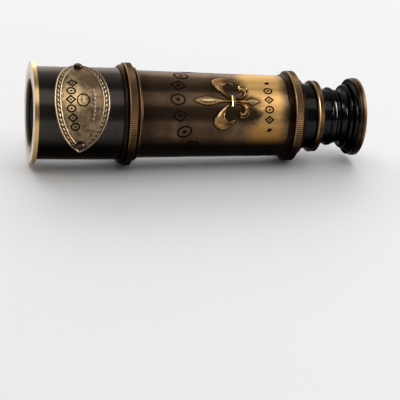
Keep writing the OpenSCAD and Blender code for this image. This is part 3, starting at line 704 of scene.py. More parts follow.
def ridge(name, rows, section, lift, side=1, belly=None):
    """A leaf between two edges, whose rows are [u, v, u, v] in millimetres, left edge first.

    The section's points are a share of the half width and a share of the height, and a flat
    skirt under them, which the ornament's material blackens, is a painted shadow round the
    leaf's outline. Far from the middle its heights turn to the belly's. A narrow leaf is lower
    than a broad one.
    """
    path = smooth_path(rows, LEAF_STEPS)
    columns = len(section) + 1
    piece = started(name, bpy.ops.mesh.primitive_grid_add, x_subdivisions=columns - 1,
                    y_subdivisions=len(path) - 1, size=1)
    for index, vertex in enumerate(piece.data.vertices):
        row, column = divmod(index, columns)
        left, right = Vector(path[row][:2]), Vector(path[row][2:])
        middle = (left + right) / 2
        edge = (left - right) / 2
        half = edge.length
        across, height = section[column % len(section)]
        if belly:
            share = clamp((abs(middle.y) - BELLY_START) / (BELLY_END - BELLY_START))
            turned = share * share * (3 - 2 * share)
            height += (belly[column % len(section)] - height) * turned
        if abs(across) > 1:
            across = (1 + LEAF_SHADOW_SKIRT / max(half, 0.05)) * (1 if across > 0 else -1)
        spot = middle + edge * across
        tall = height * MM
        if height > 0:
            tall = height * lift * min(1, 1 + (half - LEAF_TALLEST) / 2)
        vertex.co = Vector((spot.x * MM, side * spot.y * MM, tall))
    with Editing(piece):
        bpy.ops.mesh.select_all(action="SELECT")
        bpy.ops.mesh.remove_doubles(threshold=1e-7)
        bpy.ops.mesh.fill_holes(sides=0)
    return piece


def lozenge(half, line, height, slim):
    """A flat lozenge, open in the middle when a line width is given."""
    piece = started("lozenge", bpy.ops.mesh.primitive_circle_add, vertices=4, radius=half,
                    fill_type="NGON")
    return flat_figure(piece, line, height, slim, cuts=5)


def hoop(half, line, height, slim):
    """A flat oval hoop, or an oval disc when no line width is given."""
    piece = started("hoop", bpy.ops.mesh.primitive_circle_add, vertices=36, radius=half * 0.9,
                    fill_type="NGON")
    return flat_figure(piece, line, height, slim, cuts=1)


def flat_figure(piece, line, height, slim, cuts):
    """Thickens a flat outline from just under the surface, and opens its middle."""
    under = 0.05 * MM
    shape(piece, lambda p: Vector((p.x * slim, p.y, -under)))
    with Editing(piece):
        bpy.ops.mesh.select_all(action="SELECT")
        bpy.ops.mesh.normals_make_consistent(inside=False)
        if line:
            bpy.ops.mesh.inset(thickness=line, depth=0)
            bpy.ops.mesh.delete(type="FACE")
            bpy.ops.mesh.select_all(action="SELECT")
        bpy.ops.mesh.subdivide(number_cuts=cuts)
        extrude_up(under + height)
    return piece


# Settings


def colour(name, words, default):
    """A colour that the user can change."""
    return FloatVectorProperty(name=name, description=words, default=default, subtype="COLOR",
                               size=3, min=0, max=1)


def length(name, words, default):
    """A length that the user can change."""
    return FloatProperty(name=name, description=words, default=default, unit="LENGTH")


def angle(name, words, degrees):
    """An angle that the user can change."""
    return FloatProperty(name=name, description=words, default=radians(degrees), subtype="ANGLE")


class SpyglassColours(bpy.types.PropertyGroup):
    """The colours of the metals and the floor."""

    barrel_patina: colour("Barrel patina", "Dark brown patina of the main barrel",
                          (0.112, 0.069, 0.041))
    barrel_rubbed: colour("Barrel brass", "Golden brass where the barrel is rubbed",
                          (0.34, 0.195, 0.070))
    barrel_worn: colour("Worn brass", "Paler brass in the most rubbed streaks",
                        (0.53, 0.325, 0.112))
    # Painted reflection: the amber brass low on the barrel stands in for the surroundings reflected
    # there
    barrel_low_reflection: colour("Amber brass", "Darker orange brass low on the barrel",
                         (0.31, 0.155, 0.042))
    front_dark: colour("Front tube", "Nearly black bronze of the front tube", (0.042, 0.036, 0.032))
    ring_bronze: colour("Ring bronze", "Brown bronze of the rings", (0.088, 0.047, 0.022))
    # Rubbed bronze, also the colour of the rings' painted highlights
    ring_rubbed_and_lit: colour("Rubbed bronze", "Bronze where the rings are rubbed", (0.38, 0.235, 0.115))
    rim_brass: colour("Rim brass", "Bright brass of the objective rim", (0.72, 0.47, 0.19))
    rim_face: colour("Rim face", "Pale worn face of the objective rim", (0.70, 0.60, 0.50))
    draw_brass: colour("Draw brass", "Brass of the draw tubes", (0.60, 0.38, 0.14))
    enamel: colour("Enamel", "Black enamel of the collars and the eyepiece", (0.020, 0.020, 0.020))
    enamel_edge: colour("Enamel edge", "Gloss of the enamel seen edge on", (0.45, 0.45, 0.45))
    screw: colour("Screws", "Blackened steel of the plate's screws", (0.02, 0.015, 0.012))
    plate_field: colour("Plate field", "Tan of the oval plate's field", (0.28, 0.190, 0.105))
    plate_worn: colour("Worn plate", "Golden tan where the plate is rubbed", (0.68, 0.49, 0.25))
    plate_stain: colour("Plate stain", "Brown stains on the plate", (0.075, 0.047, 0.030))
    plate_line: colour("Plate lines", "Rubbed raised lines of the plate", (0.30, 0.23, 0.15))
    fleur_body: colour("Ornament", "Warm gold of the ornament's leaves", (0.42, 0.235, 0.082))
    fleur_belly: colour("Ornament bellies", "Warm gold of the petals' ends", (0.56, 0.27, 0.09))
    # The ridges' bright gold is used for wear and a painted highlight
    fleur_ridge_worn_and_lit: colour("Ornament ridges", "Bright gold of the ornament's ridges",
                        (0.78, 0.57, 0.32))
    edge_tint: colour("Edge tint", "Dulls the metals where they are seen edge on",
                      (0.66, 0.62, 0.59))
    floor: colour("Floor", "Pale floor", (0.88, 0.88, 0.88))


class SpyglassPlate(bpy.types.PropertyGroup):
    """The oval plate on the front tube."""

    x: length("Place", "Plate's middle along the axis", (PLATE_LOW + PLATE_HIGH) / 2)
    turn: angle("Turn", "Plate's middle above the side of the tube", 32.5)
    half_width: length("Half width", "Half the plate's width along the tube",
                       (PLATE_HIGH - PLATE_LOW) / 2)
    half_length: length("Half length", "Half the plate's length round the tube", 28.2 * MM)
    field_height: length("Field", "Height of the field above the tube", 0.6 * MM)
    edge_height: length("Edges", "Height of the raised lines above the field", 0.35 * MM)
    leaves: IntProperty(name="Leaves", description="Leaves on each side of the channel", default=21)
    screw_place: length("Screws", "Screws from the plate's middle, round the tube", 22.8 * MM)
    star_x: length("Star along", "Place of the compass star along the tube", 0.6 * MM)
    star_v: length("Star round", "Place of the compass star round the tube", 0.2 * MM)


class SpyglassFleur(bpy.types.PropertyGroup):
    """The fleur-de-lis on the main barrel."""

    x: length("Place", "The ornament's band along the axis", FLEUR_START + 20 * MM)
    turn: angle("Turn", "The ornament's middle above the side of the barrel", 36)
    lift: length("Height", "Height of the ornament's ridges", 1.15 * MM)


class SpyglassEngraving(bpy.types.PropertyGroup):
    """The bands of plain engraved lozenges on the barrel."""

    large_x: length("Large band", "Place of the large lozenges' middle", 73 * MM)
    large_turn: angle("Large band's turn", "Middle of the large band", 37)
    large_size: length("Large size", "Length of a large lozenge round the barrel", 7.0 * MM)
    large_count: IntProperty(name="Large lozenges", description="Figures in the large band",
                             default=7)
    small_x: length("Small band", "Place of the small lozenges' middle", 118 * MM)
    small_turn: angle("Small band's turn", "Middle of the small band", 32)
    small_size: length("Small size", "Length of a small lozenge round the barrel", 4.4 * MM)
    small_count: IntProperty(name="Small lozenges", description="Figures in the small band",
                             default=4)
    line: length("Line", "Width of the engraved lines", 0.85 * MM)


class SpyglassStage(bpy.types.PropertyGroup):
    """The floor and the camera."""

    camera: FloatVectorProperty(name="Camera", description="Place of the camera",
                                subtype="TRANSLATION", default=(-0.06847, -0.62586, 0.19134))
    yaw: angle("Yaw", "Turn of the view from +Y towards +X", 14.277)
    pitch: angle("Pitch", "Fall of the view", 20.232)
    roll: angle("Roll", "Roll of the view", 4.805)
    lens: FloatProperty(name="Lens", description="Focal length in millimetres on a 36 mm sensor",
                        default=118.07)
    floor_size: length("Floor", "Width of the floor", 6.0)


def settings():
    """The spyglass's settings, kept in the scene."""
    return bpy.context.scene.spyglass


class SpyglassSettings(bpy.types.PropertyGroup):
    """All the settings of the spyglass."""

    colours: PointerProperty(type=SpyglassColours)
    plate: PointerProperty(type=SpyglassPlate)
    fleur: PointerProperty(type=SpyglassFleur)
    engraving: PointerProperty(type=SpyglassEngraving)
    stage: PointerProperty(type=SpyglassStage)


# Pieces


class SPYGLASS_OT_tubes(bpy.types.Operator):
    """Finishes the front tube, the main barrel and the objective rim"""

    bl_idname = "spyglass.tubes"
    bl_label = "Tubes"

    def execute(self, context):
        colours = settings().colours
        fleur = settings().fleur
        paint(aged_barrel(colours, fleur.x, fleur.turn), "main_barrel")
        paint(dark_tube(colours), "front_tube")
        paint(rim_brass(colours), "objective_bezel")
        return {"FINISHED"}


class SPYGLASS_OT_rings(bpy.types.Operator):
    """Finishes the knurled rings and the bronze rims"""

    bl_idname = "spyglass.rings"
    bl_label = "Rings"

    def execute(self, context):
        colours = settings().colours
        collar_crest = span("collar_rim_1", 2)[1]
        eye_end = span("eyepiece_rim")[1]
        # The eyepiece's rim is rubbed less than the others, so its crest lies out of reach
        eye_crest = span("eyepiece_rim", 2)[1] + 0.4 * MM
        # The lines given for each ring are painted highlights, placed from its edges
        joint_highlight_lines = [(JOINT_START, 2.5, 2.9), (JOINT_END, -1.3, -1.0)]
        joint = ring_bronze("joint_bronze", colours, JOINT_R, joint_highlight_lines)
        end = ring_bronze("end_bronze", colours, END_R, [(END_START, 3.1, 3.6)])
        collar = ring_bronze("rim_bronze", colours, collar_crest, [(RIM_START, 0.6, 0.9)])
        eye = ring_bronze("eye_bronze", colours, eye_crest, [(eye_end, -0.75, -0.45)])
        paint(joint, "joint_ring")
        paint(end, "barrel_end_ring")
        paint(collar, "collar_rim_1")
        paint(eye, "eyepiece_rim")
        return {"FINISHED"}


class SPYGLASS_OT_eyepiece(bpy.types.Operator):
    """Finishes the black collars and the eyepiece"""

    bl_idname = "spyglass.eyepiece"
    bl_label = "Eyepiece and collars"

    def execute(self, context):
        enamel = black_enamel(settings().colours)
        paint(enamel, "draw_collar_1", "draw_collar_2", "eyepiece_body", "eye_cup")
        return {"FINISHED"}


class SPYGLASS_OT_draws(bpy.types.Operator):
    """Finishes the draw tubes and the brass inside"""

    bl_idname = "spyglass.draws"
    bl_label = "Draws"

    def execute(self, context):
        colours = settings().colours
        paint(draw_brass(colours), "draw_tube_1", "draw_tube_2", "draw_tube_3")
        paint(inner_brass(colours), "guide_sleeve_1", "guide_sleeve_2", "guide_sleeve_3",
              "stop_ring_1", "stop_ring_2", "stop_ring_3", "eye_lens_retainer", "eyepiece_spacer",
              "erector_cell", "erector_retainers")
        return {"FINISHED"}


class SPYGLASS_OT_optics(bpy.types.Operator):
    """Finishes the lenses, stops and baffle"""

    bl_idname = "spyglass.optics"
    bl_label = "Optics"

    def execute(self, context):
        paint(bloomed_glass(), "crown_lens", "flint_lens")
        paint(lens_glass(), "eye_lens", "field_lens", "erector_lens_front", "erector_lens_rear")
        paint(optical_black(), "objective_cell", "objective_retainer", "light_baffle",
              "field_stop", "erector_stop")
        return {"FINISHED"}


class SPYGLASS_OT_plate(bpy.types.Operator):
    """Models the oval plate with its raised lines, leaf border and compass star"""

    bl_idname = "spyglass.plate"
    bl_label = "Oval plate"

    # How far the middle of the sunk channel lies inside the outline, and how deep the channel is
    CHANNEL = 1.72 * MM
    CHANNEL_DEPTH = 0.1 * MM
    # Half a leaf's length, its width as a share of that, how it tapers and how it slants
    LEAF_HALF = 1.05 * MM
    LEAF_WIDTH = 0.42
    LEAF_TAPER = 0.3
    LEAF_SLANT = radians(24)
    # How far the star's long points reach, and its short points and waists as shares of that
    STAR_REACH = 2.9 * MM
    STAR_SHORT = 0.6
    STAR_WAIST = 0.27
    STAR_HEIGHT = 0.3 * MM
    SCREW_SEAT_R = 2.2 * MM
    INLAY_HEIGHT = 0.07 * MM
    INLAY_LINE = 0.75 * MM

    def execute(self, context):
        plate = settings().plate
        copper = plate_metal(settings().colours, plate)
        sheet = self.sheet(plate)
        pieces = [sheet, self.leaves(plate), self.star(plate), self.beads(plate)]
        inlay = self.inlay(plate)
        for piece in (*pieces, inlay):
            lay_on(piece, plate.x, plate.turn, lambda x: FRONT_R)
            tidy_mesh(piece)
        for piece in pieces:
            dress(piece, copper)
        dress(inlay, engraved_fill())
        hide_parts("oval_plate")
        return {"FINISHED"}

    def outline(self, plate, share, margin):
        """A point of the pointed oval, for a share of the way round from the lower tip."""
        big = (plate.half_length ** 2 + plate.half_width ** 2) / (2 * plate.half_width)
        arm = big - margin
        inset = big - plate.half_width
        tip = atan2(sqrt(arm * arm - inset * inset), inset)
        side = 1 if share < 0.5 else -1
        angle = tip * (4 * (share if share < 0.5 else 1 - share) - 1)
        return Vector((side * (arm * cos(angle) - inset), arm * sin(angle), 0))

    def sheet(self, plate):
        """The sheet: a raised edge, a sunk channel, an inner line and the field."""
        count = 160
        field = plate.field_height
        high = field + plate.edge_height
        line = high - 0.08 * MM
        sunk = field - self.CHANNEL_DEPTH
        # How far each step lies inside the outline, in millimetres, and its height
        steps = [(0, 0), (0, high - 0.3 * MM), (0.08, high - 0.1 * MM), (0.24, high), (0.48, high),
                 (0.62, high - 0.08 * MM), (0.8, sunk), (2.5, sunk), (2.62, line - 0.06 * MM),
                 (2.72, line), (2.98, line), (3.1, line - 0.06 * MM), (3.25, field)]
        piece = started("plate_sheet", bpy.ops.mesh.primitive_grid_add, x_subdivisions=count,
                        y_subdivisions=len(steps) - 1, size=1)
        for index, vertex in enumerate(piece.data.vertices):
            row, column = divmod(index, count + 1)
            margin, height = steps[row]
            place = self.outline(plate, column % count / count, margin * MM)
            vertex.co = place + Vector((0, 0, height))
        with Editing(piece):
            bpy.ops.mesh.select_all(action="SELECT")
            bpy.ops.mesh.remove_doubles(threshold=1e-7)
            self.close(piece, 0)
            self.close(piece, field)
        self.seat_screws(plate, piece)
        return piece

    def close(self, piece, height):
        """Spans the flat oval at a height with strips across it and a triangle at each tip."""
        near = 1e-6
        verts = bmesh.from_edit_mesh(piece.data).verts
        rim = [v.co.y for v in verts if v.is_boundary and abs(v.co.z - height) < near]
        tips = (min(rim), max(rim))

        def along_side(edge):
            level = all(abs(v.co.z - height) < near for v in edge.verts)
            tip = any(min(abs(v.co.y - t) for t in tips) < near for v in edge.verts)
            return edge.is_boundary and level and not tip

        select_edges(piece, along_side)
        bpy.ops.mesh.bridge_edge_loops()
        bpy.ops.mesh.select_all(action="SELECT")
        bpy.ops.mesh.fill_holes(sides=3)

    def seat_screws(self, plate, piece):
        """Cuts a flat seat for each screw head into the raised lines."""
        deep = 2 * MM
        middle = plate.field_height - 0.02 * MM + deep / 2
        for side in (-1, 1):
            cutter = started("seat_cutter", bpy.ops.mesh.primitive_cylinder_add, vertices=48,
                             radius=self.SCREW_SEAT_R, depth=deep,
                             location=(0, side * plate.screw_place, middle))
            cut_out(piece, cutter)

    def leaves(self, plate):
        """Slanting leaves like a rope along the channel on both sides."""
        half = self.LEAF_HALF
        leaf = started("leaf", bpy.ops.mesh.primitive_circle_add, vertices=14, radius=half,
                       fill_type="NGON")

        def narrowed(point):
            width = self.LEAF_WIDTH * (1 - self.LEAF_TAPER * point.x / half)
            return Vector((point.x, point.y * width, point.z))

        shape(leaf, narrowed)
        with Editing(leaf):
            bpy.ops.mesh.select_all(action="SELECT")
            extrude_up(0.2 * MM)
            inset_up(width=0.12 * MM, height=0.14 * MM)
            inset_up(width=0.14 * MM, height=0.04 * MM)
        shift(leaf, 0, 0, plate.field_height - self.CHANNEL_DEPTH - 0.04 * MM)
        # The leaves leave a gap at both tips of the outline, each side being half the way round
        first, reach = 0.045, 0.41
        places = []
        for side in (0, 1):
            slant = self.LEAF_SLANT if side else -self.LEAF_SLANT
            for k in range(plate.leaves):
                share = (first + reach * k / (plate.leaves - 1)) + 0.5 * side
                here = self.outline(plate, share, self.CHANNEL)
                ahead = self.outline(plate, share + 0.002, self.CHANNEL)
                along = atan2(ahead.y - here.y, ahead.x - here.x)
                places.append((here.x, here.y, along + slant, 1.0))
        return copies(leaf, places, "plate_leaves")

    def star(self, plate):
        """A compass star of eight ridged points, every other one shorter."""
        reach = self.STAR_REACH
        points = []
        for k in range(8):
            points.append((reach if k % 2 == 0 else reach * self.STAR_SHORT, k * pi / 4))
            points.append((reach * self.STAR_WAIST, k * pi / 4 + pi / 8))
        star = started("plate_star", bpy.ops.mesh.primitive_circle_add, vertices=len(points),
                       radius=reach, fill_type="TRIFAN")
        rim = [v for v in star.data.vertices if v.co.length > reach / 2]
        hub = [v for v in star.data.vertices if v.co.length <= reach / 2]
        rim.sort(key=lambda v: atan2(v.co.y, v.co.x) % (2 * pi))
        for vertex, (far, turn) in zip(rim, points):
            vertex.co = Vector((far * cos(turn), far * sin(turn), 0))
        hub[0].co.z = self.STAR_HEIGHT
        with Editing(star):
            bpy.ops.mesh.select_all(action="SELECT")
            extrude_up(0.16 * MM)
        shift(star, plate.star_x, plate.star_v, plate.field_height - 0.03 * MM)
        return star

    def row(self, count, start, pitch, place, bow=0.0, scale=1.0):
        """Places in a row round the tube, in millimetres, which bows towards its ends."""
        ways = (start + pitch * k for k in range(count))
        return [((place + bow * v * v) * MM, v * MM, 0, scale) for v in ways]

    def beads(self, plate):
        """Three short rows of small raised lozenges beside the star."""
        bead = lozenge(half=0.95 * MM, line=None, height=0.34 * MM, slim=0.7)
        shift(bead, 0, 0, plate.field_height)
        places = self.row(count=8, start=-8.8, pitch=1.95, place=6.3, bow=-0.012)
        places += self.row(count=5, start=-13.2, pitch=1.7, place=2.4, scale=0.8)
        places += self.row(count=5, start=6.5, pitch=1.7, place=2.0, scale=0.8)
        return copies(bead, places, "plate_beads")

    def inlay(self, plate):
        """Black lozenges and hoops along the rubbed side, with a hoop round the star."""
        top, line = self.INLAY_HEIGHT, self.INLAY_LINE
        spots = self.row(count=6, start=9.2, pitch=-4.4, place=-5.5, bow=0.014)
        star = [(plate.star_x, plate.star_v, 0, 1)]
        large = lozenge(half=2.35 * MM, line=line, height=top, slim=1.15)
        lozenges = copies(large, spots[0::2], "inlay_lozenges")
        oval = hoop(half=2.2 * MM, line=line, height=top, slim=1.2)
        hoops = copies(oval, spots[1::2], "inlay_hoops")
        heart = lozenge(half=0.55 * MM, line=None, height=top, slim=1.1)
        hearts = copies(heart, spots, "inlay_hearts")
        ring = hoop(half=3.6 * MM, line=0.6 * MM, height=top, slim=1.0)
        around = copies(ring, star, "inlay_ring")
        piece = joined("plate_inlay", lozenges, hoops, hearts, around)
        shift(piece, 0, 0, plate.field_height)
        return piece


class SPYGLASS_OT_screws(bpy.types.Operator):
    """Models the two round-headed screws that hold the plate"""

    bl_idname = "spyglass.screws"
    bl_label = "Plate screws"

    HEAD_R = 2.15 * MM
    HEAD_HEIGHT = 2.05 * MM
    SHOULDER = 1.15 * MM

    def execute(self, context):
        plate = settings().plate
        head = self.head()
        out = FRONT_R + plate.field_height - 0.12 * MM
        screws = []
        # Each screw is at one end of the plate, with its slot turned its own way
        for side, slot in ((-1, 0.5), (1, -0.7)):
            turn = plate.turn + side * plate.screw_place / FRONT_R
            move = Matrix.Translation((plate.x, -out * cos(turn), out * sin(turn)))
            upright = Matrix.Rotation(pi / 2 - turn, 4, "X")
            screws.append(twin(head, move @ upright @ Matrix.Rotation(slot, 4, "Z")))
        bpy.data.objects.remove(head)
        piece = joined("plate_screw_heads", *screws)
        tidy_mesh(piece, radians(30))
        dress(piece, dark_steel(settings().colours), replaces=["plate_screws"])
        return {"FINISHED"}

    def head(self):
        """A round head with a soft shoulder and a slot."""
        tall = self.HEAD_HEIGHT
        head = started("screw_head", bpy.ops.mesh.primitive_cylinder_add, vertices=48,
                       radius=self.HEAD_R, depth=tall, location=(0, 0, tall / 2))
        bpy.ops.object.transform_apply(location=True)
        with Editing(head):
            select_edges(head, lambda edge: all(v.co.z > 0.9 * tall for v in edge.verts))
            bpy.ops.mesh.bevel(offset=self.SHOULDER, segments=7, profile=0.5)
        cutter = started("slot_cutter", bpy.ops.mesh.primitive_cube_add, size=1,
                         location=(0, 0, tall))
        shape(cutter, lambda p: Vector((p.x * 5 * MM, p.y * 0.6 * MM, p.z * 1.3 * MM)))
        cut_out(head, cutter)
        return head


class SPYGLASS_OT_fleur(bpy.types.Operator):
    """Models the fleur-de-lis from ridged leaves and lays it on the barrel"""

    bl_idname = "spyglass.fleur"
    bl_label = "Fleur-de-lis"

    # The spear and the tail, in millimetres from the band: place along the barrel, half width
    SPEAR = [(-20, 0.15), (-18.2, 0.95), (-16.3, 1.65), (-13.4, 2.3), (-10.8, 2.1), (-8.6, 1.55),
             (-6.3, 1), (-3.5, 0.65), (-0.5, 0.6)]
    TAIL = [(1, 0.5), (4, 0.42), (6.8, 0.6), (8.8, 1.25), (10.5, 2), (12.2, 1.25), (14.4, 0.15)]

    # The other leaves by their two edges, [u, v, u, v] in millimetres from the band outwards
    PETAL = [(-0.6, 0.8, -0.3, 1.5), (-1.5, 1.2, -1.05, 2.05), (-2.9, 2, -2.2, 3),
             (-5, 3.7, -3.4, 4.8), (-7.5, 6, -4.1, 6.6), (-9.3, 8.9, -4.1, 7.9),
             (-9.3, 12, -3.6, 8.9), (-6.9, 14, -2.6, 9.8), (-3.6, 14.5, -1.4, 10.1),
             (-1, 12.9, -0.4, 9.9), (0.7, 10.6, 0.3, 9.5), (1.5, 9.4, 1.25, 9.2)]
    CURL = [(0.9, 1.7, 0.9, 0.9), (1.75, 1.75, 1.75, 0.85), (4.2, 2.05, 4.6, 0.95),
            (5.6, 3.1, 7.2, 2.4), (6.1, 4.5, 8.6, 4.7), (5.8, 5.4, 8.2, 7.1),
            (5.1, 5.7, 6.2, 8.5), (4.4, 5.4, 4.1, 8.3), (4.1, 4.8, 3.2, 6.6)]
    BAND = [(-0.55, -2.8, 0.35, -2.8), (-0.45, 0, 0.45, 0), (-0.55, 2.6, 0.35, 2.6)]
    THIN_BAND = [(0.8, -2.3, 1.3, -2.3), (0.9, 0, 1.4, 0), (0.8, 2.3, 1.3, 2.3)]
    BAND_LIFT, THIN_BAND_LIFT = 1.45, 1.3

    # Every section starts and ends in the skirt beyond the leaf's right and left edges, a low
    # sheet that carries a painted shadow round the leaf
    RIGHT_SHADOW_SKIRT = [(-2, -0.15), (-2, 0.05), (-1, 0.06)]
    LEFT_SHADOW_SKIRT = [(1, 0.06), (2, 0.05), (2, -0.15)]

    # Sections from the right edge to the left: a share of the half width and of the height
    CREST = [(-0.88, 0.32), (-0.5, 0.66), (-0.16, 0.93), (0, 1), (0.16, 0.93), (0.5, 0.66),
             (0.88, 0.32)]
    DISH = [(-0.96, 0.38), (-0.86, 0.48), (-0.74, 0.34), (-0.4, 0.28), (0, 0.4), (0.3, 0.62),
            (0.52, 0.93), (0.62, 1), (0.74, 0.92), (0.88, 0.5)]
    SPIRAL = [(-0.96, 0.5), (-0.82, 0.68), (-0.66, 0.5), (-0.45, 0.16), (-0.2, 0.2), (0, 0.72),
              (0.14, 1), (0.3, 1), (0.5, 0.7), (0.72, 0.3)]
    ROUND = [(-0.9, 0.6), (-0.6, 0.9), (-0.2, 1), (0.2, 1), (0.6, 0.9), (0.9, 0.6)]

    # The heights that the dish turns to at the petal's belly
    BELLY = [-0.15, 0.05, 0.06, 0.2, 0.3, 0.36, 0.5, 0.64, 0.68, 0.66, 0.62, 0.52, 0.36, 0.06,
             0.05, -0.15]

    def execute(self, context):
        fleur = settings().fleur
        lift = fleur.lift
        spear = [(u, half, u, -half) for u, half in self.SPEAR]
        tail = [(u, half, u, -half) for u, half in self.TAIL]
        leaves = [self.leaf("spear", spear, self.CREST, lift),
                  self.leaf("tail", tail, self.CREST, lift),
                  self.leaf("band", self.BAND, self.ROUND, lift * self.BAND_LIFT),
                  self.leaf("thin_band", self.THIN_BAND, self.ROUND, lift * self.THIN_BAND_LIFT)]
        for side in (-1, 1):
            leaves.append(self.leaf("petal", self.PETAL, self.DISH, lift, side, self.BELLY))
            leaves.append(self.leaf("curl", self.CURL, self.SPIRAL, lift, side))
        piece = joined("fleur_de_lis", *leaves)
        lay_on(piece, fleur.x, fleur.turn, barrel_radius)
        tidy_mesh(piece, radians(28))
        gilt = fleur_metal(settings().colours, fleur)
        dress(piece, gilt, replaces=["fleur_ornament"])
        return {"FINISHED"}

    def leaf(self, name, rows, top, lift, side=1, belly=None):
        """One leaf with its section's top between the two skirts."""
        return ridge(name, rows, self.RIGHT_SHADOW_SKIRT + top + self.LEFT_SHADOW_SKIRT, lift, side, belly)


class SPYGLASS_OT_engraving(bpy.types.Operator):
    """Models the bands of plain lozenges and hoops engraved on the barrel"""

    bl_idname = "spyglass.engraving"
    bl_label = "Engraving"

    HEIGHT = 0.05 * MM
    BAR_PLACE = 13 * MM

    def execute(self, context):
        engraving = settings().engraving
        wax = engraved_fill()
        large = self.chain(engraving.large_count, engraving.large_size, engraving.line,
                           pitch=8.2 * MM, bow=8.0 * MM, slim=1.25)
        small = self.chain(engraving.small_count, engraving.small_size, engraving.line * 0.9,
                           pitch=5.1 * MM, bow=0, slim=1.2)
        # The small band ends in a short bar on each side
        ends = [(0.4 * MM, side * self.BAR_PLACE, 0.5, 1) for side in (-1, 1)]
        bar = lozenge(half=1.1 * MM, line=None, height=self.HEIGHT, slim=1.5)
        bars = copies(bar, ends, "bars")
        small = joined("small_lozenges", small, bars)
        lay_on(large, engraving.large_x, engraving.large_turn, barrel_radius)
        lay_on(small, engraving.small_x, engraving.small_turn, barrel_radius)
        large.name = "large_lozenges"
        for piece in (large, small):
            tidy_mesh(piece)
            dress(piece, wax)
        return {"FINISHED"}

    def chain(self, count, size, line, pitch, bow, slim):
        """Lozenges and hoops by turns along a bow, each with a small lozenge inside."""
        half = (count - 1) / 2
        places = []
        for k in range(count):
            share = (k - half) / max(half, 1)
            lean = 2 * bow * share / (pitch * half)
            along = bow * share * share - bow * 0.25
            places.append((along, (k - half) * pitch, -atan2(lean, 1) * 0.9, 1.0))
        lozenges = copies(lozenge(size / 2, line, self.HEIGHT, slim), places[0::2], "lozenges")
        hoops = copies(hoop(size / 2, line, self.HEIGHT, slim), places[1::2], "hoops")
        hearts = copies(lozenge(size / 7, None, self.HEIGHT, slim), places, "hearts")
        return joined("chain", lozenges, hoops, hearts)


